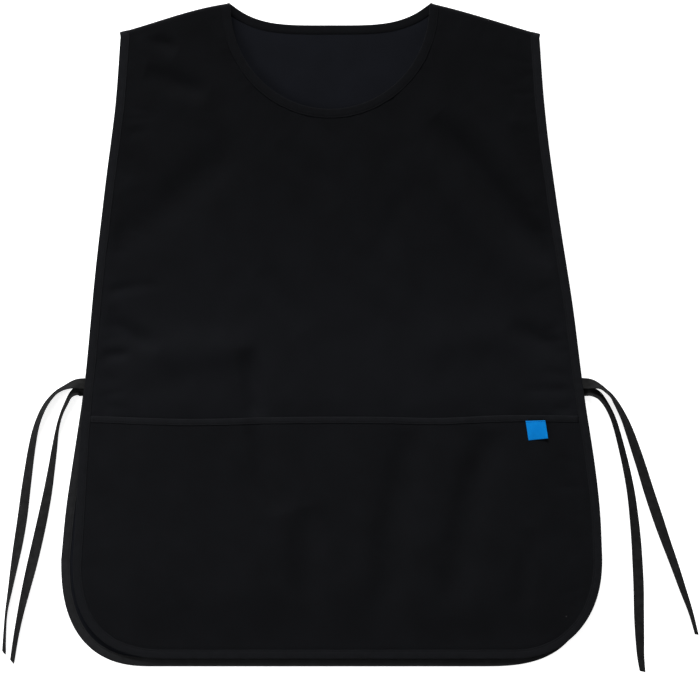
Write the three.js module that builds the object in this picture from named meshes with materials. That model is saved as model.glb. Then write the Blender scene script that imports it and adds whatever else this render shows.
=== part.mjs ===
import * as THREE from 'three';

// A tabard apron lying flat on its back panel, in millimetres: +X is right seen from above,
// +Y runs towards the neck and +Z points up from the surface it lies on.

// Cloth, binding tape and clearances
const CLOTH = 1;
const TAPE = 1;
const GAP = 0.3;
const LAYER_GAP = 0.4;
const BAND = 9;
const HEM_BAND = 6;

// Underside of each layer where it enters its binding, and the roll of the shoulders
const FOLD_RADIUS = 4;
const BACK_EDGE = TAPE + GAP;
const FRONT_HEM = BACK_EDGE + CLOTH + GAP + TAPE + LAYER_GAP + TAPE + GAP;
const FRONT_SHOULDER = BACK_EDGE + 2 * FOLD_RADIUS;
const POCKET_EDGE = FRONT_HEM + CLOTH + GAP;

// Outline of the cloth: half widths up the side, and the line down its middle above the pocket
const CORNER_TOP = -250;
const SIDE = [
  { y: -250, half: 292.3 },
  { y: -184, half: 288.5 },
  { y: -121, half: 282.6 },
  { y: -42, half: 273.4 },
  { y: 38, half: 264.5 },
  { y: 149, half: 249.6 },
  { y: 260, half: 235.8 },
  { y: 328, half: 230.8 },
];
const NECK_SHIFT = -1.7;
const MIDDLE_TOP = [
  { y: 20, x: 1.3 },
  { y: 110, x: -1 },
  { y: 200, x: -2 },
  { y: 250, x: NECK_SHIFT },
];

// Shoulders: height of their outer ends, and how far they arch above a straight line
const TIP_Y = { left: 330.5, right: 328.5 };
const SHOULDER_BOW = { left: 2.4, right: 1 };
const BOW_SCALE = 6.75;

// The two panels; the back's neckline flares to the front's where it rolls over the shoulder
const FRONT = {
  hem: -358.3,
  foldSide: 1,
  neck: { half: 111, top: 362.5, depth: 114, power: 2, ease: 0.5, flare: 0 },
  corners: { left: { reach: 110, power: 2.6 }, right: { reach: 99, power: 2.2 } },
  middle: [
    { y: -260, x: 6.6 }, { y: -200, x: 7.2 }, { y: -150, x: 6 }, { y: -86, x: 3.2 },
    ...MIDDLE_TOP,
  ],
};
const BACK = {
  hem: -367.1,
  foldSide: -1,
  neck: { half: 107.7, top: 363.4, depth: 21.5, power: 4, ease: 1, flare: 3.4 },
  corners: { left: { reach: 99, power: 2.5 }, right: { reach: 118, power: 2.8 } },
  middle: [
    { y: -250, x: -6.7 }, { y: -200, x: -4.7 }, { y: -150, x: -1.7 }, { y: -86, x: 1.2 },
    ...MIDDLE_TOP,
  ],
};

// Pocket, label and ties
const MOUTH_Y = -92.6;
const POCKET_PUFF = 6;
const LABEL = { width: 22, height: 21, thickness: 0.8, x: 227, y: -105.4, lean: 6, pitch: 5.2, rise: 1.75 };
const TIE = { width: 12, thickness: 1, chamfer: 0.3, clear: 0.4, steps: 44 };

// How the cloth lies: flat beside an edge, free to puff and fold further in
const FLAT_MARGIN = 12;
const SOFT_MARGIN = 48;
const POCKET_MARGIN = 42;
const CHEST_RISE = { from: -40, to: 200 };
const CHEST_PUFF = { x: 0, y: 110, spreadX: 150, spreadY: 110, rise: 3 };
const POCKET_SAG = { from: -90, to: -130, drop: 1 };

// Valleys and ridges, each along a line from one point to another
const FRONT_FOLDS = [
  { x0: -179, y0: 292, x1: -140, y1: 274, width: 12, rise: -2.5 },
  { x0: -115, y0: 214, x1: -225, y1: 104, width: 15, rise: -3 },
  { x0: -110, y0: 185, x1: -244, y1: 66, width: 16, rise: 2.5 },
  { x0: -249, y0: 23, x1: -201, y1: 0, width: 12, rise: -2.5 },
  { x0: -173, y0: 0, x1: -77, y1: 4, width: 16, rise: 2 },
  { x0: -216, y0: -34, x1: -125, y1: -29, width: 14, rise: -2 },
  { x0: 133, y0: 247, x1: 238, y1: 128, width: 14, rise: -3 },
  { x0: 123, y0: 195, x1: 228, y1: 62, width: 16, rise: 2.5 },
  { x0: 204, y0: 8, x1: 261, y1: -19, width: 12, rise: -2.5 },
  { x0: 89, y0: -6, x1: 214, y1: 4, width: 16, rise: 1.5 },
  { x0: -58, y0: 209, x1: 4, y1: 118, width: 16, rise: 1.2 },
  { x0: 95, y0: 166, x1: 47, y1: 66, width: 16, rise: -1.2 },
];
const POCKET_FOLDS = [
  { x0: -68, y0: -106, x1: -29, y1: -191, width: 14, rise: -1.2 },
  { x0: -20, y0: -215, x1: -20, y1: -320, width: 14, rise: -1.2 },
  { x0: 76, y0: -129, x1: 52, y1: -320, width: 14, rise: -1.2 },
  { x0: 114, y0: -106, x1: 114, y1: -225, width: 16, rise: 1 },
  { x0: 143, y0: -181, x1: 118, y1: -249, width: 14, rise: -1 },
  { x0: 176, y0: -220, x1: 180, y1: -296, width: 14, rise: 1 },
];

// Routes of the ties: tilt turns the tape from flat (0) to on edge (90), lift raises its root
const TIE_ROUTES = {
  tie_front_left: [
    { x: -274.8, y: -54.4, tilt: 0, lift: 4.9 },
    { x: -283.6, y: -54.8, tilt: 33, lift: 1.4 },
    { x: -294.7, y: -58.4, tilt: 64, lift: 0 },
    { x: -303.9, y: -63.4, tilt: 70, lift: 0 },
    { x: -311.1, y: -70.4, tilt: 67, lift: 0 },
    { x: -317.3, y: -79, tilt: 62, lift: 0 },
    { x: -321.9, y: -88, tilt: 59, lift: 0 },
    { x: -325.4, y: -97, tilt: 56, lift: 0 },
    { x: -328.8, y: -109, tilt: 50, lift: 0 },
    { x: -332.5, y: -128.2, tilt: 42, lift: 0 },
    { x: -335.5, y: -148.2, tilt: 35, lift: 0 },
    { x: -339.2, y: -174.8, tilt: 24, lift: 0 },
    { x: -342.6, y: -201.5, tilt: 18, lift: 0 },
    { x: -346.7, y: -228.1, tilt: 24, lift: 0 },
    { x: -351.3, y: -254.7, tilt: 42, lift: 0 },
    { x: -355.8, y: -281.4, tilt: 60, lift: 0 },
    { x: -360.2, y: -308, tilt: 73, lift: 0 },
    { x: -362.1, y: -334.7, tilt: 70, lift: 0 },
    { x: -362.8, y: -352.4, tilt: 64, lift: 0 },
  ],
  tie_back_left: [
    { x: -277.9, y: -62.4, tilt: 0, lift: 0.9 },
    { x: -283.6, y: -63.4, tilt: 38, lift: 0 },
    { x: -289.3, y: -67.9, tilt: 62, lift: 0 },
    { x: -294.1, y: -77.1, tilt: 67, lift: 0 },
    { x: -298.4, y: -86.6, tilt: 70, lift: 0 },
    { x: -301.7, y: -96.6, tilt: 70, lift: 0 },
    { x: -304.3, y: -108.8, tilt: 66, lift: 0 },
    { x: -307.2, y: -128.2, tilt: 54, lift: 0 },
    { x: -310.2, y: -148.2, tilt: 46, lift: 0 },
    { x: -314.6, y: -174.8, tilt: 31, lift: 0 },
    { x: -320, y: -201.5, tilt: 18, lift: 0 },
    { x: -325.9, y: -228.1, tilt: 10, lift: 0 },
    { x: -332.1, y: -254.7, tilt: 14, lift: 0 },
    { x: -338.4, y: -281.4, tilt: 32, lift: 0 },
    { x: -344.4, y: -308, tilt: 48, lift: 0 },
    { x: -349.5, y: -334.7, tilt: 57, lift: 0 },
    { x: -353.8, y: -362.4, tilt: 61, lift: 0 },
  ],
  tie_front_right: [
    { x: 280.1, y: -54.2, tilt: 0, lift: 4.9 },
    { x: 288.6, y: -54.8, tilt: -32, lift: 1.7 },
    { x: 298, y: -58, tilt: -64, lift: 0 },
    { x: 305.8, y: -63.9, tilt: -70, lift: 0 },
    { x: 310.8, y: -68.9, tilt: -68, lift: 0 },
    { x: 314.6, y: -74.8, tilt: -61, lift: 0 },
    { x: 318.8, y: -82, tilt: -55, lift: 0 },
    { x: 324.8, y: -94, tilt: -47, lift: 0 },
    { x: 330.2, y: -107.4, tilt: -36, lift: 0 },
    { x: 337.5, y: -128.2, tilt: -25, lift: 0 },
    { x: 344.1, y: -148.2, tilt: -19, lift: 0 },
    { x: 352.4, y: -174.8, tilt: -10, lift: 0 },
    { x: 361.3, y: -201.5, tilt: -8, lift: 0 },
    { x: 370.3, y: -228.1, tilt: -24, lift: 0 },
    { x: 379.9, y: -254.7, tilt: -36, lift: 0 },
    { x: 389, y: -281.4, tilt: -47, lift: 0 },
    { x: 398.1, y: -308, tilt: -61, lift: 0 },
    { x: 404.6, y: -332.4, tilt: -68, lift: 0 },
  ],
  tie_back_right: [
    { x: 279.5, y: -62.4, tilt: 0, lift: 0.9 },
    { x: 284.2, y: -62.4, tilt: -12, lift: 0.4 },
    { x: 289.2, y: -63.6, tilt: -32, lift: 0 },
    { x: 296.2, y: -67.4, tilt: -46, lift: 0 },
    { x: 300.9, y: -72.6, tilt: -54, lift: 0 },
    { x: 306, y: -80.4, tilt: -58, lift: 0 },
    { x: 311.6, y: -92, tilt: -57, lift: 0 },
    { x: 316.3, y: -106.4, tilt: -55, lift: 0 },
    { x: 322, y: -128.2, tilt: -50, lift: 0 },
    { x: 326.7, y: -148.2, tilt: -45, lift: 0 },
    { x: 331.8, y: -174.8, tilt: -38, lift: 0 },
    { x: 335.2, y: -201.5, tilt: -29, lift: 0 },
    { x: 337.8, y: -228.1, tilt: -19, lift: 0 },
    { x: 339.5, y: -254.7, tilt: -11, lift: 0 },
    { x: 340.7, y: -281.4, tilt: -8, lift: 0 },
    { x: 341, y: -308, tilt: -14, lift: 0 },
    { x: 341.7, y: -334.7, tilt: -28, lift: 0 },
    { x: 342.7, y: -356.9, tilt: -44, lift: 0 },
    { x: 344.7, y: -373.5, tilt: -56, lift: 0 },
  ],
};

// Fineness of the cloth's mesh: rows up each panel, columns from its middle to its side
const CORNER_ROWS = 7;
const CORNER_SPACING = 0.8;
const POCKET_ROWS = 4;
const FRONT_ROWS = { side: 9, neck: 9, pocketY: -94, slantY: 228 };
const BACK_ROWS = { side: 9, neck: 6, slantY: 312 };
const INSETS = [10, 26, 42];
const MIDDLE_COLUMNS = { front: 4, back: 3, pocket: 4 };
const FOLD_ANGLES = [0, 30, 60, 87.85];

const SIDES = [{ name: 'left', sign: -1 }, { name: 'right', sign: 1 }];
const UP = new THREE.Vector3(0, 0, 1);
const { lerp, clamp, smoothstep, degToRad } = THREE.MathUtils;

/** Smooth value of a table's column at height y, from rows sorted by y. */
function tableAt(table, y, column) {
  const last = table.length - 2;
  const i = clamp(table.findLastIndex((row) => row.y <= y), 0, last);
  const slope = (a, b) => (table[b][column] - table[a][column]) / (table[b].y - table[a].y);
  const span = table[i + 1].y - table[i].y;
  const t = clamp((y - table[i].y) / span, 0, 1);
  const start = slope(Math.max(i - 1, 0), i + 1) * span;
  const end = slope(i, Math.min(i + 2, last + 1)) * span;
  const rise = table[i + 1][column] - table[i][column];
  const curve = start + t * (3 * rise - 2 * start - end + t * (start + end - 2 * rise));
  return table[i][column] + t * curve;
}

/** The flat outline of one panel: its sides, corners, hem and neckline. */
class Outline {
  constructor(panel) {
    Object.assign(this, panel);
  }

  get neckBottom() {
    return this.neck.top - this.neck.depth;
  }

  halfWidth(y, side) {
    if (y >= CORNER_TOP) return tableAt(SIDE, y, 'half');
    const { reach, power } = this.corners[side.name];
    const down = clamp((CORNER_TOP - y) / (CORNER_TOP - this.hem), 0, 1);
    return SIDE[0].half - reach + reach * (1 - down ** power) ** (1 / power);
  }

  centre(y) {
    return new THREE.Vector2(tableAt(this.middle, y, 'x'), y);
  }

  edge(y, side) {
    const point = this.centre(y);
    point.x += side.sign * this.halfWidth(y, side);
    return point;
  }

  neckline(angle, side) {
    const { half, top, depth, power, ease } = this.neck;
    const share = Math.sin(angle);
    const drop = depth * Math.max(1 - share ** power, 0) ** ease;
    return new THREE.Vector2(NECK_SHIFT + side.sign * half * share, top - drop);
  }
}

/** Level rows around the bottom corners, closer together where the corner turns. */
function cornerRows(outline) {
  const rows = [];
  for (let i = 0; i <= CORNER_ROWS; i++) {
    const turn = Math.cos((i / CORNER_ROWS) * (Math.PI / 2));
    rows.push(levelRow(outline, lerp(CORNER_TOP, outline.hem, turn ** CORNER_SPACING)));
  }
  return rows;
}

function levelRow(outline, y) {
  return (side) => ({ inner: outline.centre(y), outer: outline.edge(y, side) });
}

/** Rows from one height to another that end at their own heights at the middle and at the side. */
function sideRows(outline, count, from, middleTo, edgeTo) {
  const rows = [];
  for (let i = 1; i <= count; i++) {
    const middleY = lerp(from, middleTo, i / count);
    const edgeY = lerp(from, edgeTo, i / count);
    rows.push((side) => ({ inner: outline.centre(middleY), outer: outline.edge(edgeY, side) }));
  }
  return rows;
}

/** Rows from the neckline to the side, the last one being the shoulder line. */
function neckRows(outline, count, edgeFrom) {
  const rows = [];
  for (let i = 1; i <= count; i++) {
    const up = i / count;
    rows.push((side) => ({
      inner: outline.neckline(up * (Math.PI / 2), side),
      outer: outline.edge(lerp(edgeFrom, TIP_Y[side.name], up), side),
      bow: SHOULDER_BOW[side.name] * up * up,
    }));
  }
  return rows;
}

/** Points along a row, with columns at set distances from both of its ends; a bow arches it. */
function rowPoints({ inner, outer, bow = 0 }, middleColumns) {
  const length = inner.distanceTo(outer);
  const slope = outer.clone().sub(inner).divideScalar(length);
  const arch = new THREE.Vector2(-slope.y, slope.x).multiplyScalar(BOW_SCALE * bow * Math.sign(slope.x));
  const inset = INSETS.at(-1);
  const distances = [0, ...INSETS];
  for (let i = 1; i < middleColumns; i++) {
    distances.push(lerp(inset, length - inset, i / middleColumns));
  }
  distances.push(...INSETS.toReversed().map((d) => length - d), length);
  return distances.map((d) => {
    const share = d / length;
    const point = inner.clone().addScaledVector(slope, d);
    return point.addScaledVector(arch, share * (1 - share) ** 2);
  });
}

/** Distance from a point to the nearest stretch of a set of lines. */
function distanceToLines(point, lines) {
  const nearest = new THREE.Vector3();
  const from = new THREE.Vector3(point.x, point.y, 0);
  let least = Infinity;
  for (const line of lines) {
    line.closestPointToPoint(from, true, nearest);
    least = Math.min(least, nearest.distanceTo(from));
  }
  return least;
}

function flatLine(a, b) {
  return new THREE.Line3(new THREE.Vector3(a.x, a.y, 0), new THREE.Vector3(b.x, b.y, 0));
}

function foldHeight(point, folds) {
  let height = 0;
  for (const fold of folds) {
    const crease = flatLine({ x: fold.x0, y: fold.y0 }, { x: fold.x1, y: fold.y1 });
    const away = distanceToLines(point, [crease]) / fold.width;
    height += fold.rise * Math.exp(-away * away);
  }
  return height;
}

/** Underside of the front panel: it climbs to the shoulders, puffs at the chest and folds. */
function frontUnderside(point, edgeDistance) {
  const level = lerp(FRONT_HEM, FRONT_SHOULDER, smoothstep(point.y, CHEST_RISE.from, CHEST_RISE.to));
  const acrossX = (point.x - CHEST_PUFF.x) / CHEST_PUFF.spreadX;
  const acrossY = (point.y - CHEST_PUFF.y) / CHEST_PUFF.spreadY;
  const puff = CHEST_PUFF.rise * Math.exp(-acrossX * acrossX - acrossY * acrossY);
  const sag = POCKET_SAG.drop * (1 - smoothstep(point.y, POCKET_SAG.to, POCKET_SAG.from));
  const free = smoothstep(edgeDistance, FLAT_MARGIN, SOFT_MARGIN);
  return level + free * (puff - sag + foldHeight(point, FRONT_FOLDS));
}

/** Underside of the back panel: it lies on the surface and lifts over its own binding. */
function backUnderside(point, edgeDistance) {
  return BACK_EDGE * (1 - smoothstep(edgeDistance, FLAT_MARGIN, SOFT_MARGIN));
}

/** Underside of the pocket: it puffs away from the front panel and stays level along its mouth. */
function pocketUnderside(point, edgeDistance) {
  const held = new THREE.Vector2(point.x, Math.min(point.y, MOUTH_Y - FLAT_MARGIN));
  const free = smoothstep(edgeDistance, FLAT_MARGIN, POCKET_MARGIN);
  return POCKET_EDGE + free * (POCKET_PUFF + foldHeight(held, POCKET_FOLDS));
}

/** Collects the faces of one closed solid. */
class Faces {
  constructor() {
    this.corners = [];
  }

  /** Adds a four-sided face, its corners counter-clockwise seen from outside unless flipped. */
  quad(a, b, c, d, flipped = false) {
    const order = flipped ? [a, c, b, a, d, c] : [a, b, c, a, c, d];
    for (const corner of order) this.corners.push(corner.x, corner.y, corner.z);
  }

  geometry() {
    const geometry = new THREE.BufferGeometry();
    geometry.setAttribute('position', new THREE.Float32BufferAttribute(this.corners, 3));
    geometry.computeVertexNormals();
    return geometry;
  }
}

/** A sheet of cloth as two half grids of points, from the middle or neckline out to each side. */
class Sheet {
  constructor({ rows, middleColumns, underside, neckStart = Infinity, panel = null }) {
    this.neckStart = neckStart;
    const flat = SIDES.map((side) => rows.map((row) => rowPoints(row(side), middleColumns)));
    const lines = flat.flatMap((half) => this.edgeLines(half));
    this.halves = flat.map((half, i) => {
      const { sign } = SIDES[i];
      const grid = half.map((row) => row.map((point) => {
        const z = underside(point, distanceToLines(point, lines)) + CLOTH / 2;
        return { mid: new THREE.Vector3(point.x, point.y, z), up: UP.clone() };
      }));
      if (panel) grid.splice(-1, 1, ...shoulderFold(half.at(-1), sign, panel));
      return { grid, sign };
    });
  }

  /** The bound edges of one half: hem, side, and where there is a neckline also shoulder and neck. */
  edgeLines(half) {
    const path = [...half[0], ...half.slice(1).map((row) => row.at(-1))];
    if (this.neckStart < half.length) {
      path.push(...half.at(-1).toReversed().slice(1));
      path.push(...half.slice(this.neckStart, -1).toReversed().map((row) => row[0]));
    }
    return path.slice(1).map((point, i) => flatLine(path[i], point));
  }

  /** The closed solid between the sheet's two faces. */
  geometry() {
    const faces = new Faces();
    const low = (node) => node.mid.clone().addScaledVector(node.up, -CLOTH / 2);
    const high = (node) => node.mid.clone().addScaledVector(node.up, CLOTH / 2);
    for (const { grid, sign } of this.halves) {
      const flipped = sign < 0;
      const wall = (a, b) => faces.quad(low(a), low(b), high(b), high(a), flipped);
      const top = grid.length - 1;
      const side = grid[0].length - 1;
      for (let r = 0; r < top; r++) {
        for (let c = 0; c < side; c++) {
          const cell = [grid[r][c], grid[r][c + 1], grid[r + 1][c + 1], grid[r + 1][c]];
          faces.quad(...cell.map(high), flipped);
          faces.quad(...cell.map(low), !flipped);
        }
        wall(grid[r][side], grid[r + 1][side]);
        if (r >= this.neckStart) wall(grid[r + 1][0], grid[r][0]);
      }
      for (let c = 0; c < side; c++) {
        wall(grid[0][c], grid[0][c + 1]);
        wall(grid[top][c + 1], grid[top][c]);
      }
    }
    return faces.geometry();
  }

  /** Points along the outer edge, clockwise seen from above, from the right shoulder to the left. */
  outerEdge() {
    const [left, right] = this.halves.map((half) => half.grid);
    const down = right.slice(1).toReversed().map((row) => row.at(-1));
    const hem = [...right[0].toReversed(), ...left[0].slice(1)];
    return [...down, ...hem, ...left.slice(1).map((row) => row.at(-1))];
  }

  /** Points along one side of the neckline, from its middle to the end of the shoulder's roll. */
  neckEdge(half) {
    return this.halves[half].grid.slice(this.neckStart).map((row) => row[0]);
  }
}

/** Rows of cloth that roll over the shoulder from the front (1) or the back (-1) to the seam. */
function shoulderFold(shoulder, sign, { foldSide, neck }) {
  const length = shoulder[0].distanceTo(shoulder.at(-1));
  const slope = shoulder.at(-1).clone().sub(shoulder[0]).divideScalar(length);
  const out = new THREE.Vector3(-slope.y, slope.x, 0).multiplyScalar(sign);
  const centreZ = BACK_EDGE + CLOTH / 2 + FOLD_RADIUS;
  const alongs = shoulder.map((point, i) => {
    const from = clamp(i, 0, shoulder.length - 2);
    const step = shoulder[from + 1].clone().sub(shoulder[from]).normalize();
    return new THREE.Vector3(step.x, step.y, 0);
  });
  return FOLD_ANGLES.map((degrees) => {
    const angle = degToRad(degrees);
    const up = UP.clone().multiplyScalar(Math.cos(angle));
    up.addScaledVector(out, foldSide * Math.sin(angle));
    return shoulder.map((point, i) => {
      const along = alongs[i];
      const mid = new THREE.Vector3(point.x, point.y, centreZ);
      const inward = 1 - point.distanceTo(shoulder[0]) / length;
      mid.addScaledVector(along, neck.flare * inward * Math.sin(angle));
      mid.addScaledVector(out, FOLD_RADIUS * Math.sin(angle));
      mid.z += foldSide * FOLD_RADIUS * Math.cos(angle);
      return { mid, up, along };
    });
  });
}

/** Sweeps a section along stations; each gives the section's points from its own out and up. */
function sweep(stations, section, capQuads, closed) {
  const count = stations.length;
  const at = (i) => stations[closed ? (i + count) % count : clamp(i, 0, count - 1)];
  const rings = stations.map((station, i) => {
    const travel = at(i + 1).mid.clone().sub(at(i - 1).mid);
    const out = station.up.clone().cross(travel).normalize();
    if (station.along) {
      const facing = Math.sign(out.dot(station.along));
      out.copy(station.along).multiplyScalar(facing);
    }
    return section(station).map(([s, w]) => station.mid.clone()
      .addScaledVector(out, s)
      .addScaledVector(station.up, w));
  });
  const faces = new Faces();
  const spans = closed ? count : count - 1;
  for (let i = 0; i < spans; i++) {
    const ring = rings[i];
    const next = rings[(i + 1) % count];
    ring.forEach((point, k) => {
      const l = (k + 1) % ring.length;
      faces.quad(point, ring[l], next[l], next[k]);
    });
  }
  if (!closed) {
    for (const quad of capQuads) {
      faces.quad(...quad.map((k) => rings[0][k]), true);
      faces.quad(...quad.map((k) => rings.at(-1)[k]));
    }
  }
  return faces.geometry();
}

/** Tape folded over an edge; cover is the thickness of any cloth lying on the edge's own. */
function bindingSection({ cover = 0 }) {
  const low = -CLOTH / 2 - GAP;
  const high = CLOTH / 2 + cover + GAP;
  const out = GAP + TAPE;
  return [
    [-BAND, low - TAPE], [out, low - TAPE], [out, high + TAPE], [-BAND, high + TAPE],
    [-BAND, high], [GAP, high], [GAP, low], [-BAND, low],
  ];
}
const BINDING_CAPS = [[0, 1, 6, 7], [1, 2, 5, 6], [2, 3, 4, 5]];

/** Tape turned over the pocket's mouth: a lip at the edge and a band on top. */
function mouthSection() {
  const low = -CLOTH / 2;
  const high = CLOTH / 2 + GAP;
  const out = GAP + TAPE;
  return [
    [GAP, low], [out, low], [out, high + TAPE],
    [-HEM_BAND, high + TAPE], [-HEM_BAND, high], [GAP, high],
  ];
}
const MOUTH_CAPS = [[0, 1, 2, 5], [2, 3, 4, 5]];

/** The closed ring of both necklines; the tape's outer face turns down as it rolls to the back. */
function neckStations(front, back) {
  const turned = ({ mid, up, along }) => ({ mid, up: up.clone().negate(), along });
  const halfRing = (half) => {
    const frontEdge = front.neckEdge(half);
    const backEdge = back.neckEdge(half);
    const end = frontEdge.pop();
    const seam = { ...end, mid: end.mid.clone().lerp(backEdge.pop().mid, 0.5) };
    return [...frontEdge, seam, ...backEdge.toReversed().map(turned)];
  };
  const left = halfRing(0);
  const right = halfRing(1);
  return [...right, ...left.slice(1, -1).toReversed()];
}

/** The pocket's mouth from left to right, short of the bands at the sides. */
function mouthStations(pocket) {
  const [left, right] = pocket.halves.map((half) => half.grid.at(-1).slice(0, -1));
  return [...left.slice(1).toReversed(), ...right];
}

/** A tie's route, whose frames turn the flat section by the tilt of each point. */
class TieRoute extends THREE.CatmullRomCurve3 {
  constructor(rows) {
    super(rows.map(({ x, y, tilt, lift }) => {
      const angle = Math.abs(degToRad(tilt));
      const halfHeight = (TIE.width * Math.sin(angle) + TIE.thickness * Math.cos(angle)) / 2;
      return new THREE.Vector3(x, y, TIE.clear + halfHeight + lift);
    }), false, 'centripetal');
    this.rows = rows;
  }

  tiltAt(u) {
    const place = this.getUtoTmapping(u) * (this.rows.length - 1);
    const i = Math.min(Math.floor(place), this.rows.length - 2);
    return degToRad(lerp(this.rows[i].tilt, this.rows[i + 1].tilt, place - i));
  }

  computeFrenetFrames(segments) {
    const frames = { tangents: [], normals: [], binormals: [] };
    for (let i = 0; i <= segments; i++) {
      const tangent = this.getTangentAt(i / segments);
      const across = UP.clone().cross(tangent).normalize();
      const normal = across.applyAxisAngle(tangent, this.tiltAt(i / segments));
      frames.tangents.push(tangent);
      frames.normals.push(normal);
      frames.binormals.push(tangent.clone().cross(normal));
    }
    return frames;
  }
}

function tieGeometry(rows) {
  const x = TIE.width / 2;
  const y = TIE.thickness / 2;
  const cut = TIE.chamfer;
  const section = new THREE.Shape([
    new THREE.Vector2(cut - x, -y), new THREE.Vector2(0, -y), new THREE.Vector2(x - cut, -y),
    new THREE.Vector2(x, cut - y), new THREE.Vector2(x, y - cut),
    new THREE.Vector2(x - cut, y), new THREE.Vector2(0, y), new THREE.Vector2(cut - x, y),
    new THREE.Vector2(-x, y - cut), new THREE.Vector2(-x, cut - y),
  ]);
  return new THREE.ExtrudeGeometry(section, {
    steps: TIE.steps, extrudePath: new TieRoute(rows), bevelEnabled: false,
  });
}

function frontSheet() {
  const outline = new Outline(FRONT);
  const { side, neck, pocketY, slantY } = FRONT_ROWS;
  const rows = [
    ...cornerRows(outline),
    ...sideRows(outline, POCKET_ROWS, CORNER_TOP, pocketY, pocketY),
    ...sideRows(outline, side, pocketY, outline.neckBottom, slantY),
    ...neckRows(outline, neck, slantY),
  ];
  const neckStart = CORNER_ROWS + POCKET_ROWS + side;
  return new Sheet({
    rows, neckStart, middleColumns: MIDDLE_COLUMNS.front, underside: frontUnderside, panel: FRONT,
  });
}

function backSheet() {
  const outline = new Outline(BACK);
  const rows = [
    ...cornerRows(outline),
    ...sideRows(outline, BACK_ROWS.side, CORNER_TOP, outline.neckBottom, BACK_ROWS.slantY),
    ...neckRows(outline, BACK_ROWS.neck, BACK_ROWS.slantY),
  ];
  const neckStart = CORNER_ROWS + BACK_ROWS.side;
  return new Sheet({
    rows, neckStart, middleColumns: MIDDLE_COLUMNS.back, underside: backUnderside, panel: BACK,
  });
}

function pocketSheet() {
  const outline = new Outline(FRONT);
  const rows = [
    ...cornerRows(outline),
    ...sideRows(outline, POCKET_ROWS, CORNER_TOP, MOUTH_Y, MOUTH_Y),
  ];
  rows.splice(-1, 0, levelRow(outline, MOUTH_Y - FLAT_MARGIN));
  return new Sheet({ rows, middleColumns: MIDDLE_COLUMNS.pocket, underside: pocketUnderside });
}

function cloth(name, geometry, color, roughness) {
  const mesh = new THREE.Mesh(geometry, new THREE.MeshStandardMaterial({ color, roughness, metalness: 0 }));
  mesh.name = name;
  return mesh;
}

const front = frontSheet();
const back = backSheet();
const pocket = pocketSheet();
const pocketCover = (node) => ({ ...node, cover: node.mid.y <= MOUTH_Y ? CLOTH + GAP : 0 });
const frontEdge = front.outerEdge().map(pocketCover);

const apron = new THREE.Group();
apron.add(
  cloth('back_panel', back.geometry(), 0x16171b, 0.8),
  cloth('front_panel', front.geometry(), 0x131416, 0.9),
  cloth('pocket', pocket.geometry(), 0x131315, 0.9),
  cloth('pocket_binding', sweep(mouthStations(pocket), mouthSection, MOUTH_CAPS, false), 0x161618, 0.85),
  cloth('neck_binding', sweep(neckStations(front, back), bindingSection, [], true), 0x18181a, 0.85),
  cloth('front_edge_binding', sweep(frontEdge, bindingSection, BINDING_CAPS, false), 0x18181a, 0.85),
  cloth('back_edge_binding', sweep(back.outerEdge(), bindingSection, BINDING_CAPS, false), 0x1c1c1d, 0.85),
);
for (const [name, rows] of Object.entries(TIE_ROUTES)) {
  apron.add(cloth(name, tieGeometry(rows), 0x222222, 0.85));
}

const labelPlate = new THREE.BoxGeometry(LABEL.width, LABEL.height, LABEL.thickness);
const label = cloth('label', labelPlate, 0x146ec8, 0.6);
const pocketTop = POCKET_EDGE + POCKET_PUFF + CLOTH;
label.position.set(LABEL.x, LABEL.y, pocketTop + LABEL.rise);
label.rotation.set(degToRad(LABEL.pitch), 0, degToRad(LABEL.lean));
apron.add(label);

export default apron;
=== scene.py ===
"""A black tabard apron lying flat: cloth panels, bound edges, a wide pocket, tape ties and a label.

Lengths are in metres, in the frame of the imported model: +X is right seen from above, +Y runs towards
the neck and +Z points up from the surface that the apron lies on.
"""

import logging
import math
from dataclasses import dataclass, field
from enum import Enum
from typing import Callable, NamedTuple, Sequence

import bpy
import numpy as np
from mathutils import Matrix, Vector
from mathutils.kdtree import KDTree


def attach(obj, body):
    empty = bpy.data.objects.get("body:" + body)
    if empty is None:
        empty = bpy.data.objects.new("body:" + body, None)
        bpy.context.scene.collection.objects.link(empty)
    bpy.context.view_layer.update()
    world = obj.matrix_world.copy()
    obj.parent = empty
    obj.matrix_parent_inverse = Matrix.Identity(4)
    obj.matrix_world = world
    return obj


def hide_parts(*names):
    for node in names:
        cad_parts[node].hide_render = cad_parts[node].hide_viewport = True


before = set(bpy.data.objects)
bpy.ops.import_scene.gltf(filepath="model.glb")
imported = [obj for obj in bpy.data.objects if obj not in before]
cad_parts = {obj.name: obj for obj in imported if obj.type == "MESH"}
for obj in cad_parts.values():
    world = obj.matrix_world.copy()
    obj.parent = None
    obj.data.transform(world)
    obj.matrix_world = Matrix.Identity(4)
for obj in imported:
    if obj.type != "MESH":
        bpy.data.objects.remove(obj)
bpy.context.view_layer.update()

LOG = logging.getLogger("apron")
Array = np.ndarray
Colour = tuple[float, float, float, float]
Profile = list[tuple[float, float]]
Material = bpy.types.Material
Node = bpy.types.Node
Object = bpy.types.Object
Socket = bpy.types.NodeSocket
MM = 0.001
UP = np.array([0.0, 0.0, 1.0])
WHITE = (1.0, 1.0, 1.0, 1.0)
BODY = "root"


class Side(Enum):
    """The two sides of the apron, each with the sign of its x."""

    LEFT = -1
    RIGHT = 1


class Roll(Enum):
    """How a panel rolls over the shoulder, with the sign of the height that it starts from."""

    FROM_ABOVE = 1
    FROM_BELOW = -1


class Axis(Enum):
    """The directions in which the bands of a weave follow each other."""

    X = "X"
    Y = "Y"


class Slot(Enum):
    """The record's material slots."""

    BACK = "back_cloth"
    FRONT = "front_cloth"
    POCKET = "pocket_cloth"
    MOUTH = "mouth_tape"
    BINDING = "binding_tape"
    TIE = "tie_tape"
    LABEL = "label_cloth"


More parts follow.
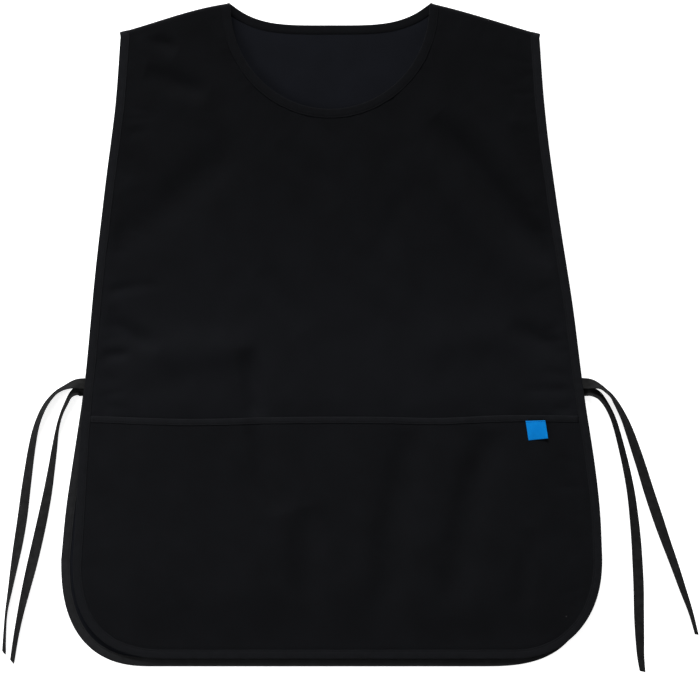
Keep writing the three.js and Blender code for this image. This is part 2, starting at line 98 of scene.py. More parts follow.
class Span(NamedTuple):
    """A stretch over which something comes in smoothly.

    Attributes:
        low: where it starts.
        high: where it is full.
    """

    low: float
    high: float

    def share(self, value: Array) -> Array:
        """How far it has come in at a value, from 0 to 1."""
        along = np.clip((value - self.low) / (self.high - self.low), 0.0, 1.0)
        return along * along * (3.0 - 2.0 * along)


def cubic_step(t: Array, first: Array, rise: Array, start: Array, end: Array) -> Array:
    """A smooth step from one value to another.

    Args:
        t: how far along it to look, from 0 to 1.
        first: the value that it starts from.
        rise: how far it climbs in all.
        start: its slope at the start, over the whole step.
        end: its slope at the end, over the whole step.

    Returns:
        The value there.
    """
    bend = 3.0 * rise - 2.0 * start - end
    twist = start + end - 2.0 * rise
    return first + t * (start + t * (bend + t * twist))


def unit(vectors: Array) -> Array:
    """The same directions at length one."""
    return vectors / np.linalg.norm(vectors, axis=-1, keepdims=True)


def running_length(points: Array) -> Array:
    """Distance along a line of points, from its start to each of them."""
    steps = np.linalg.norm(np.diff(points, axis=0), axis=1)
    return np.concatenate([[0.0], np.cumsum(steps)])


def along_line(points: Array, values: Array, places: Array) -> Array:
    """Rows of values that belong to a line's points, read at other distances along it."""
    length = running_length(points)
    return np.stack([np.interp(places, length, column) for column in values.T], axis=1)


def link(obj: Object) -> Object:
    """Puts an object in the scene."""
    bpy.context.scene.collection.objects.link(obj)
    return obj


def declare(piece: Object, node: str | None = None) -> None:
    """Hangs a piece on the apron's body.

    Args:
        piece: the piece.
        node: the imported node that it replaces, if there is one.
    """
    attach(piece, BODY)
    if node:
        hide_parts(node)


def thicken(piece: Object, name: str, thickness: float) -> None:
    """Gives a sheet its thickness, half of it on each side.

    Args:
        piece: the sheet.
        name: the modifier's name.
        thickness: how thick it becomes.
    """
    wall = piece.modifiers.new(name, "SOLIDIFY")
    wall.thickness = thickness
    wall.offset = 0.0


def net_cells(net: Array) -> Array:
    """Corner numbers of each cell in a net of point numbers, counter-clockwise."""
    corners = [net[:-1, :-1], net[:-1, 1:], net[1:, 1:], net[1:, :-1]]
    return np.stack(corners, axis=-1).reshape(-1, 4)


@dataclass(frozen=True)
class Waves:
    """A slow, irregular wave made of a few sines, the same in each run.

    Attributes:
        seed: start of its random draws.
        longest: longest wavelength.
        shortest: shortest wavelength.
        count: how many sines it adds up.
    """

    seed: int
    longest: float
    shortest: float
    count: int = 7

    def draws(self) -> tuple[Array, Array, Array]:
        """The wave numbers, headings and starts of the sines.

        Returns:
            Three rows of numbers, one for each sine.
        """
        random = np.random.default_rng(self.seed)
        lengths = np.geomspace(self.longest, self.shortest, self.count)
        headings = random.uniform(0.0, 2.0 * math.pi, self.count)
        starts = random.uniform(0.0, 2.0 * math.pi, self.count)
        return 2.0 * math.pi / lengths, headings, starts

    def over(self, points: Array) -> Array:
        """The wave over flat points.

        Args:
            points: rows of x and y.

        Returns:
            Heights of about -1 to 1.
        """
        total = np.zeros(len(points))
        for number, heading, start in zip(*self.draws()):
            across = points[:, 0] * math.cos(heading) + points[:, 1] * math.sin(heading)
            total += np.sin(number * across + start)
        return total / math.sqrt(2.0 * self.count)

    def along(self, places: Array) -> Array:
        """The wave along a line.

        Args:
            places: distances along it.

        Returns:
            Heights of about -1 to 1.
        """
        numbers, _, starts = self.draws()
        total = np.sin(numbers[:, None] * places[None, :] + starts[:, None]).sum(axis=0)
        return total / math.sqrt(2.0 * self.count)


@dataclass
class MeshDraft:
    """Points, faces and flat coordinates of a mesh that is being made.

    Attributes:
        points: rows of x, y and z.
        faces: rows of point numbers.
        uv: a row of two lengths for each corner of each face, in the faces' order.
    """

    points: Array
    faces: list[list[int]]
    uv: Array

    def finish(self, name: str, material: Material) -> Object:
        """Makes the object, with smooth faces.

        Args:
            name: the object's name.
            material: its finish.

        Returns:
            The object, in the scene.
        """
        mesh = bpy.data.meshes.new(name)
        mesh.from_pydata(self.points.tolist(), [], self.faces)
        mesh.uv_layers.new(name="cloth").data.foreach_set("uv", self.uv.astype(np.float32).ravel())
        mesh.polygons.foreach_set("use_smooth", np.ones(len(self.faces), bool))
        mesh.materials.append(material)
        return link(bpy.data.objects.new(name, mesh))


# Finishes


MIX_FACTOR, MIX_A, MIX_B, MIX_RESULT = 0, 6, 7, 2
# Blender's bands lie this far apart at a scale of one.
WAVE_PERIOD = math.pi / 10.0


class Nodes:
    """A node tree, with short calls that add its nodes and join them.

    Attributes:
        tree: the tree.
    """

    PREFIX = ""

    def __init__(self, tree: bpy.types.NodeTree) -> None:
        """Takes a tree to fill."""
        self.tree = tree

    def put(self, socket: Socket, value: object) -> None:
        """Joins a socket to another one, or sets its value.

        Args:
            socket: the input to fill.
            value: an output socket, or a plain value.
        """
        if isinstance(value, Socket):
            self.tree.links.new(value, socket)
        else:
            socket.default_value = value

    def add(self, kind: str, inputs: dict, **settings: object) -> Node:
        """Adds a node.

        Args:
            kind: the node's type, without the class's prefix.
            inputs: what goes into its sockets, by name or number.
            settings: its own properties.

        Returns:
            The node.
        """
        node = self.tree.nodes.new(self.PREFIX + kind)
        for name, value in settings.items():
            setattr(node, name, value)
        for key, value in inputs.items():
            self.put(node.inputs[key], value)
        return node


class Graph(Nodes):
    """The nodes of one material.

    Attributes:
        material: the material.
        shader: its shader.
    """

    PREFIX = "ShaderNode"

    def __init__(self, name: str) -> None:
        """Starts a material with its shader alone.

        Args:
            name: the material's name.
        """
        self.material = bpy.data.materials.new(name)
        self.material.use_nodes = True
        super().__init__(self.material.node_tree)
        self.shader = self.tree.nodes["Principled BSDF"]

    def shade(self, values: dict[str, object]) -> None:
        """Fills the shader's inputs by name."""
        for name, value in values.items():
            self.put(self.shader.inputs[name], value)

    def math(self, operation: str, first: object, second: object) -> Socket:
        """Works out two values, such as their sum."""
        return self.add("Math", {0: first, 1: second}, operation=operation).outputs[0]

    def weighted(self, parts: Sequence[tuple[Socket, float]]) -> Socket:
        """Adds up values, each times its weight.

        Args:
            parts: the values and their weights.

        Returns:
            The sum.
        """
        total = self.math("MULTIPLY", *parts[0])
        for value, weight in parts[1:]:
            total = self.math("ADD", total, self.math("MULTIPLY", value, weight))
        return total

    def turned(self, place: Node, angle: float) -> Socket:
        """The flat coordinates of the cloth, turned by an angle."""
        inputs = {"Vector": place.outputs["UV"], "Rotation": (0.0, 0.0, angle)}
        return self.add("Mapping", inputs).outputs["Vector"]

    def waves(self, vector: Socket, period: float, axis: Axis, wander: float) -> Socket:
        """Straight bands, as yarns lie.

        Args:
            vector: coordinates in metres.
            period: distance from one band to the next.
            axis: direction in which the bands follow each other.
            wander: how far they stray from straight.

        Returns:
            The bands' height, from 0 to 1.
        """
        inputs = {
            "Vector": vector, "Scale": WAVE_PERIOD / period, "Distortion": wander,
            "Detail": 1.0, "Detail Scale": 0.4,
        }
        return self.add("TexWave", inputs, bands_direction=axis.value).outputs["Fac"]

    def noise(self, vector: Socket, size: float, detail: float) -> Socket:
        """Soft blotches of about the given size."""
        inputs = {"Vector": vector, "Scale": 1.0 / size, "Detail": detail, "Roughness": 0.55}
        return self.add("TexNoise", inputs).outputs["Fac"]

    def ramp(self, factor: Socket, stops: Sequence[tuple[float, Colour]]) -> Socket:
        """Turns a factor into a colour.

        Args:
            factor: a value from 0 to 1.
            stops: two places and their colours.

        Returns:
            The colour.
        """
        node = self.add("ValToRGB", {"Fac": factor})
        for element, (place, colour) in zip(node.color_ramp.elements, stops):
            element.position = place
            element.color = colour
        return node.outputs["Color"]

    def mix(self, factor: object, first: object, second: object) -> Socket:
        """Blends two colours."""
        inputs = {MIX_FACTOR: factor, MIX_A: first, MIX_B: second}
        return self.add("Mix", inputs, data_type="RGBA").outputs[MIX_RESULT]

    def vary_roughness(self, factor: Socket, low: float, high: float) -> None:
        """Spreads the shader's roughness between two values."""
        node = self.add("MapRange", {"Value": factor, "To Min": low, "To Max": high})
        self.shade({"Roughness": node.outputs["Result"]})

    def bump(self, height: Socket, depth: float, strength: float = 0.5) -> None:
        """Gives the shader its fine relief."""
        node = self.add("Bump", {"Height": height, "Distance": depth, "Strength": strength})
        self.shade({"Normal": node.outputs["Normal"]})


# How much of a grey's lean towards blue its green takes on.
GREEN_LEAN = 0.2


def grey(level: float, blue: float = 0.0) -> Colour:
    """A grey that leans towards blue by a share of its own level."""
    return (level, level * (1.0 + GREEN_LEAN * blue), level * (1.0 + blue), 1.0)


@dataclass(frozen=True)
class ClothFinish:
    """Matte twill cloth.

    Attributes:
        name: the material's name.
        dark: colour of the yarns in shade.
        light: colour of the worn, lighter yarns.
        roughness: how matte it is.
        specular: how much plain gloss is left.
        sheen: how much its fuzz catches the light.
        wale: distance between the diagonal ribs of the twill.
        yarn: distance between yarns.
        slant: angle of the ribs.
        relief: depth of the weave.
        lint: share of the places for a speck that hold one.
        fade: painted light: how much lighter the colour is painted below the chest than above it, for
            lamp light that falls off towards the shoulders.
        light_ramp_top: height where the fade starts.
        light_ramp_low: height where it is full.
    """

    name: str
    dark: Colour
    light: Colour
    roughness: float = 0.88
    specular: float = 0.04
    sheen: float = 0.02
    wale: float = 0.72 * MM
    yarn: float = 0.36 * MM
    slant: float = math.radians(63)
    relief: float = 0.12 * MM
    lint: float = 0.01
    fade: float = 0.0
    light_ramp_top: float = 230 * MM
    light_ramp_low: float = -40 * MM

    # Depth of the yarns beside that of the ribs, and sizes of the blotches and the thicker yarns.
    YARN_SHARE = 0.35
    BLOTCH = 34 * MM
    SLUB = 2.2 * MM
    # How much each pattern counts in the tone, and the tones of the dark and the light colour.
    WEAVE_TONE = 0.22
    BLOTCH_TONE = 0.5
    SLUB_TONE = 0.22
    DARK_AT = 0.28
    LIGHT_AT = 0.75
    MATTE_SPREAD = 0.05
    # Lint: its colour, the distance between places for a speck, and its radius as a share of that.
    LINT_COLOUR = grey(0.09)
    LINT_CELL = 26 * MM
    LINT_RADIUS = 0.022

    def material(self) -> Material:
        """Builds the finish: weave, blotches, a few specks of lint, and a painted light ramp down the
        cloth as strong as its fade.

        Returns:
            The material.
        """
        graph = Graph(self.name)
        place = graph.add("TexCoord", {})
        turned = graph.turned(place, self.slant)
        ribs = graph.waves(turned, self.wale, Axis.X, wander=0.8)
        yarns = graph.waves(turned, self.yarn, Axis.Y, wander=0.5)
        weave = graph.math("ADD", ribs, graph.math("MULTIPLY", yarns, self.YARN_SHARE))
        blotches = graph.noise(place.outputs["Object"], self.BLOTCH, detail=4.0)
        slubs = graph.noise(place.outputs["UV"], self.SLUB, detail=2.0)
        parts = [(weave, self.WEAVE_TONE), (blotches, self.BLOTCH_TONE), (slubs, self.SLUB_TONE)]
        # Painted light: the tone rises below the chest and sinks above it.
        tone = graph.math("ADD", graph.weighted(parts), self.painted_light_ramp(graph, place))
        half = self.fade / 2.0
        cloth = graph.ramp(tone, [(self.DARK_AT - half, self.dark), (self.LIGHT_AT + half, self.light)])
        graph.shade({
            "Base Color": graph.mix(self.speck(graph, place), cloth, self.LINT_COLOUR),
            "Specular IOR Level": self.specular,
            "Sheen Weight": self.sheen,
            "Sheen Roughness": 0.5,
        })
        graph.vary_roughness(blotches, self.roughness - self.MATTE_SPREAD, self.roughness)
        graph.bump(weave, self.relief)
        return graph.material

    def painted_light_ramp(self, graph: Graph, place: Node) -> Socket:
        """Painted light: how much lighter or darker the colour is painted at each height, for lamp light
        that falls off towards the shoulders.

        Args:
            graph: the material's nodes.
            place: its texture coordinates.

        Returns:
            A change of tone, up to half of the fade each way.
        """
        height = graph.add("SeparateXYZ", {0: place.outputs["Object"]}).outputs["Y"]
        inputs = {
            "Value": height, "From Min": self.light_ramp_low, "From Max": self.light_ramp_top,
            "To Min": self.fade / 2.0, "To Max": -self.fade / 2.0,
        }
        node = graph.add("MapRange", inputs, interpolation_type="SMOOTHSTEP")
        return node.outputs["Result"]

    def speck(self, graph: Graph, place: Node) -> Socket:
        """Marks the few small places where lint sticks.

        Args:
            graph: the material's nodes.
            place: its texture coordinates.

        Returns:
            1 on a speck and 0 elsewhere.
        """
        inputs = {"Vector": place.outputs["Object"], "Scale": 1.0 / self.LINT_CELL}
        cells = graph.add("TexVoronoi", inputs)
        draw = graph.add("SeparateColor", {0: cells.outputs["Color"]}).outputs[0]
        lucky = graph.math("LESS_THAN", draw, self.lint)
        near = graph.math("LESS_THAN", cells.outputs["Distance"], self.LINT_RADIUS)
        return graph.math("MULTIPLY", lucky, near)


@dataclass(frozen=True)
class TapeFinish:
    """Narrow woven tape, with ribs across its length.

    Attributes:
        name: the material's name.
        dark: colour in the grooves.
        light: colour on the ribs.
        rib: distance between ribs.
        slant: angle of the ribs to the tape's length.
        relief: depth of the ribs.
        roughness: how matte it is.
        specular: how much plain gloss it has.
        sheen: how much its fuzz catches the light.
    """

    name: str
    dark: Colour
    light: Colour
    rib: float = 0.9 * MM
    slant: float = math.radians(25)
    relief: float = 0.12 * MM
    roughness: float = 0.88
    specular: float = 0.05
    sheen: float = 0.02

    # Depth of the yarns beside that of the ribs, and size of the worn patches.
    YARN_SHARE = 0.4
    WEAR = 6 * MM
    # How much each pattern counts in the tone, and the tones of the dark and the light colour.
    WEAVE_TONE = 0.35
    WEAR_TONE = 0.6
    DARK_AT = 0.3
    LIGHT_AT = 0.8
    MATTE_SPREAD = 0.08

    def material(self) -> Material:
        """Builds the finish from the tape's own length and width.

        Returns:
            The material.
        """
        graph = Graph(self.name)
        place = graph.add("TexCoord", {})
        ribs = graph.waves(graph.turned(place, self.slant), self.rib, Axis.X, wander=0.6)
        yarns = graph.waves(place.outputs["UV"], self.rib / 2.0, Axis.Y, wander=0.5)
        weave = graph.math("ADD", ribs, graph.math("MULTIPLY", yarns, self.YARN_SHARE))
        worn = graph.noise(place.outputs["Object"], self.WEAR, detail=3.0)
        tone = graph.weighted([(weave, self.WEAVE_TONE), (worn, self.WEAR_TONE)])
        graph.shade({
            "Base Color": graph.ramp(tone, [(self.DARK_AT, self.dark), (self.LIGHT_AT, self.light)]),
            "Specular IOR Level": self.specular,
            "Sheen Weight": self.sheen,
            "Sheen Roughness": 0.45,
        })
        graph.vary_roughness(worn, self.roughness - self.MATTE_SPREAD, self.roughness)
        graph.bump(weave, self.relief)
        return graph.material


@dataclass(frozen=True)
class ThreadFinish:
    """Sewing thread with a twist.

    Attributes:
        name: the material's name.
        dark: colour between the strands.
        light: colour of the strands.
    """

    name: str
    dark: Colour
    light: Colour

    STRAND = 0.5 * MM
    RELIEF = 0.08 * MM
    DARK_AT = 0.35
    LIGHT_AT = 0.65
    ROUGHNESS = (0.75, 0.9)

    def material(self) -> Material:
        """Builds the finish.

        Returns:
            The material.
        """
        graph = Graph(self.name)
        place = graph.add("TexCoord", {})
        strands = graph.noise(place.outputs["Object"], self.STRAND, detail=2.0)
        graph.shade({
            "Base Color": graph.ramp(strands, [(self.DARK_AT, self.dark), (self.LIGHT_AT, self.light)]),
            "Specular IOR Level": 0.05,
        })
        graph.vary_roughness(strands, *self.ROUGHNESS)
        graph.bump(strands, self.RELIEF)
        return graph.material


# The front cloth's colour carries painted light: lighter below the chest, darker towards the shoulders.
FRONT_CLOTH = ClothFinish("black_twill", grey(0.0019, 0.3), grey(0.0062, 0.32), fade=0.42)
POCKET_CLOTH = ClothFinish("pocket_twill", grey(0.0031, 0.28), grey(0.0055, 0.3))
BACK_CLOTH = ClothFinish("inside_twill", grey(0.0043, 0.52), grey(0.0066, 0.56), lint=0.004)
BINDING_TAPE = TapeFinish("binding_tape", grey(0.0044, 0.26), grey(0.0081, 0.26))
# Painted shade: a darker copy of the binding tape for the neck ring.
SHADED_NECK_TAPE = TapeFinish("shaded_neck_tape", grey(0.0023, 0.34), grey(0.0043, 0.34))
# Painted light: a lighter copy of the binding tape for the back panel's edge, for light on the strip
# beside the front panel's hem, which the lamps leave in shade.
LIT_BACK_EDGE_TAPE = TapeFinish("lit_back_edge_tape", grey(0.0084, 0.1), grey(0.0168, 0.1))
TIE_TAPE = TapeFinish(
    "tie_tape", grey(0.007, 0.02), grey(0.022, 0.02),
    rib=1.1 * MM, roughness=0.95, specular=0.0, sheen=0.0,
)
LABEL_CLOTH = TapeFinish(
    "label_satin", (0.001, 0.168, 0.54, 1.0), (0.003, 0.236, 0.68, 1.0),
    rib=0.5 * MM, slant=0.0, relief=0.06 * MM, roughness=0.7, specular=0.05, sheen=0.0,
)
BLACK_THREAD = ThreadFinish("black_thread", grey(0.002), grey(0.005))
BLUE_THREAD = ThreadFinish("blue_thread", (0.002, 0.05, 0.2, 1.0), (0.006, 0.12, 0.4, 1.0))


# The flat cut


class Row(NamedTuple):
    """A length at a place on the cloth, both in millimetres."""

    at: float
    length: float


class Corner(NamedTuple):
    """A round bottom corner: how far it reaches in, and how square its curve is."""

    reach: float
    power: float


SIDE_WIDTHS = (
    Row(-250, 292.3), Row(-184, 288.5), Row(-121, 282.6), Row(-42, 273.4),
    Row(38, 264.5), Row(149, 249.6), Row(260, 235.8), Row(328, 230.8),
)
MIDDLE_TOP = (Row(20, 1.3), Row(110, -1.0), Row(200, -2.0), Row(250, -1.7))
SHOULDER_TIPS = {Side.LEFT: 330.5 * MM, Side.RIGHT: 328.5 * MM}
SHOULDER_BOWS = {Side.LEFT: 2.4 * MM, Side.RIGHT: 1.0 * MM}
MOUTH_Y = -92.6 * MM
MOUTH_STRAY = (
    Row(-265, 1.4), Row(-157, -1.8), Row(-50, 0.3), Row(60, 0.3),
    Row(109, -0.8), Row(198, 2.3), Row(272, 1.6),
)


def curve_at(rows: Sequence[Row], places: Array) -> Array:
    """Lengths on a smooth curve through a table's rows.

    Args:
        rows: the table, from its lowest place up.
        places: where to look.

    Returns:
        The length at each place.
    """
    at = np.array([row.at for row in rows]) * MM
    lengths = np.array([row.length for row in rows]) * MM
    slopes = np.gradient(lengths, at)
    i = np.clip(np.searchsorted(at, places, side="right") - 1, 0, len(at) - 2)
    span = at[i + 1] - at[i]
    t = np.clip((places - at[i]) / span, 0.0, 1.0)
    rise = lengths[i + 1] - lengths[i]
    return cubic_step(t, lengths[i], rise, slopes[i] * span, slopes[i + 1] * span)


@dataclass(frozen=True)
class Neckline:
    """A neckline, from the middle of the cloth up to both shoulders.

    Attributes:
        half: half of its width at the shoulders.
        top: height of its ends there.
        depth: how far it dips below them.
        power: how flat its lowest stretch is.
        ease: how steeply it ends; a half ends upright.
        flare: how much it widens where the cloth rolls over the shoulder.
        shift: how far to the right its middle lies.
    """

    half: float
    top: float
    depth: float
    power: float
    ease: float
    flare: float = 0.0
    shift: float = -1.7 * MM

    @property
    def lowest(self) -> float:
        """Height of its lowest point."""
        return self.top - self.depth

    def points(self, angle: Array, side: Side) -> Array:
        """Points on one side.

        Args:
            angle: from 0 at its lowest point to a quarter turn at the shoulder.
            side: left or right.

        Returns:
            Rows of x and y.
        """
        share = np.sin(angle)
        drop = self.depth * np.maximum(1.0 - share ** self.power, 0.0) ** self.ease
        return np.stack([self.shift + side.value * self.half * share, self.top - drop], axis=1)


@dataclass(frozen=True)
class Outline:
    """The flat outline of one panel: sides, round corners, hem and neckline.

    Attributes:
        hem: height of the hem.
        slant: height at the side of the row that starts at the neckline's lowest point.
        neck: the neckline.
        corners: the bottom corners.
        middle_low: the line down its middle, beside the pocket.
        corner_top: where the bottom corners start.
    """

    hem: float
    slant: float
    neck: Neckline
    corners: dict[Side, Corner]
    middle_low: tuple[Row, ...]
    corner_top: float = -250 * MM

    def middle(self, y: Array) -> Array:
        """Points down the middle."""
        return np.stack([curve_at(self.middle_low + MIDDLE_TOP, y), y], axis=1)

    def edge(self, y: Array, side: Side) -> Array:
        """Points down one side and round its corner.

        Args:
            y: heights.
            side: left or right.

        Returns:
            Rows of x and y.
        """
        corner = self.corners[side]
        down = np.clip((self.corner_top - y) / (self.corner_top - self.hem), 0.0, 1.0)
        cut = corner.reach * (1.0 - (1.0 - down ** corner.power) ** (1.0 / corner.power))
        points = self.middle(y)
        points[:, 0] += side.value * (curve_at(SIDE_WIDTHS, y) - cut)
        return points


FRONT_CUT = Outline(
    hem=-358.3 * MM, slant=228 * MM,
    neck=Neckline(half=111 * MM, top=362.5 * MM, depth=114 * MM, power=2.0, ease=0.5),
    corners={Side.LEFT: Corner(110 * MM, 2.6), Side.RIGHT: Corner(99 * MM, 2.2)},
    middle_low=(Row(-260, 6.6), Row(-200, 7.2), Row(-150, 6.0), Row(-86, 3.2)),
)
BACK_CUT = Outline(
    hem=-367.1 * MM, slant=312 * MM,
    neck=Neckline(half=107.7 * MM, top=363.4 * MM, depth=21.5 * MM, power=4.0, ease=1.0, flare=3.4 * MM),
    corners={Side.LEFT: Corner(99 * MM, 2.5), Side.RIGHT: Corner(118 * MM, 2.8)},
    middle_low=(Row(-250, -6.7), Row(-200, -4.7), Row(-150, -1.7), Row(-86, 1.2)),
)


# How the cloth lies


class Fold(NamedTuple):
    """A soft crease along a line, in millimetres: a ridge if it rises, a valley if it sinks.

    The bow is how far the line's middle strays to its left.
    """

    x0: float
    y0: float
    x1: float
    y1: float
    width: float
    rise: float
    bow: float = 0.0


FRONT_FOLDS = (
    Fold(-208, 336, -172, 312, 8, -3.8, 2),
    Fold(-206, 293, -136, 267, 12, -4.6, -3),
    Fold(-98, 219, -250, 89, 20, -5.2, 5),
    Fold(-256, 46, -186, 55, 6, -1.7, 2),
    Fold(-252, 20, -188, -14, 10, -4.8, -3),
    Fold(-216, -16, -82, -12, 19, 5.4, -5),
    Fold(-258, -24, -222, -20, 6, -1.9),
    Fold(-97, -14, -86, -106, 11, -5.2, 5),
    Fold(-226, -60, -150, -56, 16, -1.8),
    Fold(-264, -76, -222, -82, 5, -1.2),
    Fold(114, 242, 250, 74, 15, -9.4, -5),
    Fold(90, 212, 226, 44, 18, 4.4, -5),
    Fold(146, 252, 256, 112, 15, 2.8, -3),
    Fold(194, 8, 266, -26, 12, -4.0, 3),
    Fold(80, -14, 222, -4, 20, 2.8, 4),
    Fold(232, -40, 272, -46, 5, -1.2),
    Fold(212, -62, 272, -62, 5, -1.4),
    Fold(244, -82, 274, -84, 4, -1.0),
    Fold(-56, 216, 4, 140, 15, -2.4, 3),
    Fold(96, 174, 42, 58, 17, -2.4, -4),
    Fold(-80, 70, -32, 2, 16, -1.8, 3),
    Fold(-250, 150, -196, 176, 10, 1.4, 3),
    Fold(-238, 214, -206, 226, 8, -1.2),
    Fold(196, 240, 232, 226, 10, 1.3),
)
POCKET_FOLDS = (
    Fold(-80, -84, -54, -198, 14, -6.6, -8),
    Fold(-28, -190, -14, -362, 16, -6.8, -6),
    Fold(98, -84, 58, -362, 19, -8.2, -9),
    Fold(178, -104, 132, -312, 17, -7.4, -7),
    Fold(222, -214, 202, -356, 14, -3.8),
    Fold(-226, -112, -204, -154, 10, 1.2, 3),
    Fold(-160, -304, -186, -256, 12, 1.2),
    Fold(-140, -150, -120, -240, 20, -1.4, 4),
)


@dataclass(frozen=True)
class EdgeCreases:
    """Short creases that run in from a side edge, where its seam gathers the cloth.

    Attributes:
        side: left or right.
        low: height of the lowest one, in millimetres.
        high: height of the highest one, in millimetres.
        gap: usual distance from one to the next, in millimetres.
        depth: usual depth, in millimetres.
        seed: start of the random draws.
    """

    side: Side
    low: float
    high: float
    gap: float
    depth: float
    seed: int

    # Where they start, and the ranges of their lengths and widths, in millimetres.
    INSET = 6.0
    LENGTHS = (16.0, 44.0)
    WIDTHS = (3.0, 6.0)
    # The ranges of their rise over their length, and shares of the usual depth and gap.
    SLANTS = (-0.45, 0.25)
    DEPTHS = (0.4, 1.4)
    GAPS = (0.5, 1.5)

    def folds(self) -> tuple[Fold, ...]:
        """Draws the creases.

        Returns:
            The creases, from the lowest up.
        """
        random = np.random.default_rng(self.seed)
        folds = []
        y = self.low
        while y < self.high:
            edge = FRONT_CUT.edge(np.array([y * MM]), self.side)[0, 0] / MM
            length = random.uniform(*self.LENGTHS)
            slant = random.uniform(*self.SLANTS) * length
            start = edge - self.side.value * self.INSET
            end = start - self.side.value * length
            depth = -self.depth * random.uniform(*self.DEPTHS)
            width = random.uniform(*self.WIDTHS)
            folds.append(Fold(start, y, end, y + slant, width, depth))
            y += self.gap * random.uniform(*self.GAPS)
        return tuple(folds)


SIDE_CREASES = (
    EdgeCreases(Side.LEFT, -88, 60, 17, 0.8, 61).folds()
    + EdgeCreases(Side.LEFT, 90, 310, 24, 0.45, 62).folds()
    + EdgeCreases(Side.RIGHT, -88, 20, 14, 0.8, 63).folds()
    + EdgeCreases(Side.RIGHT, 50, 310, 20, 0.45, 64).folds()
)
POCKET_CREASES = (
    EdgeCreases(Side.LEFT, -300, -110, 26, 0.5, 65).folds()
    + EdgeCreases(Side.RIGHT, -300, -130, 26, 0.5, 66).folds()
)


def fold_height(points: Array, folds: Sequence[Fold]) -> Array:
    """Adds up folds over flat points.

    Args:
        points: rows of x and y.
        folds: the creases.

    Returns:
        Heights above the unfolded cloth.
    """
    height = np.zeros(len(points))
    for fold in folds:
        start = np.array([fold.x0, fold.y0]) * MM
        line = np.array([fold.x1 - fold.x0, fold.y1 - fold.y0]) * MM
        length = np.linalg.norm(line)
        line /= length
        left = np.array([-line[1], line[0]])
        share = np.clip((points - start) @ line / length, 0.0, 1.0)
        bowed = 4.0 * fold.bow * MM * share * (1.0 - share)
        nearest = start + share[:, None] * length * line + bowed[:, None] * left
        away = np.linalg.norm(points - nearest, axis=1) / (fold.width * MM)
        fade = 1.0 - np.abs(2.0 * share - 1.0) ** 3
        height += fold.rise * MM * fade * np.exp(-away * away)
    return height


def held_in(height: Array, most: float) -> Array:
    """Folds that level off softly before they rise or sink by more than the given height."""
    return most * np.tanh(height / most)


HEM_RISE = Span(-345 * MM, -250 * MM)
TAPE_SWELL = Span(9 * MM, 13 * MM)


def near_hem(y: Array) -> Array:
    """How far the cloth has sunk towards its hem, from 0 above the round corners to 1."""
    return 1.0 - HEM_RISE.share(y)


def beside_tape(from_edge: Array) -> Array:
    """How far the cloth has swelled beside the tape that holds its edge down, from 0 to 1."""
    return TAPE_SWELL.share(from_edge)


class EdgeFinder:
    """Tells how far flat points lie from a set of edges, and where along them."""

    def __init__(self, lines: Sequence[Array], step: float = 1.0 * MM) -> None:
        """Spreads close points along the edges.

        Args:
            lines: the edges, each with rows of x and y.
            step: distance between the points.
        """
        spread = []
        for line in lines:
            count = max(2, int(running_length(line)[-1] / step))
            spread.append(along_line(line, line, np.linspace(0.0, running_length(line)[-1], count)))
        samples = np.concatenate(spread)
        self.places = running_length(samples)
        self.tree = KDTree(len(samples))
        for i, (x, y) in enumerate(samples.tolist()):
            self.tree.insert((x, y, 0.0), i)
        self.tree.balance()

    def measure(self, points: Array) -> tuple[Array, Array]:
        """Distance of flat points from the nearest edge, and their place along it."""
        found = [self.tree.find((x, y, 0.0)) for x, y in points.tolist()]
        return np.array([hit[2] for hit in found]), self.places[[hit[1] for hit in found]]


class RowEnds(NamedTuple):
    """The flat inner and outer end of each row of cloth, and how far the row arches between them."""

    inner: Array
    outer: Array
    bow: Array


class Station(NamedTuple):
    """Rows of points, upward directions and outward directions along an edge of cloth."""

    mid: Array
    up: Array
    out: Array


def level_stations(mid: Array) -> Station:
    """Stations along a line on level cloth, facing to its left."""
    up = np.broadcast_to(UP, mid.shape)
    return Station(mid, up, unit(np.cross(up, np.gradient(mid, axis=0))))


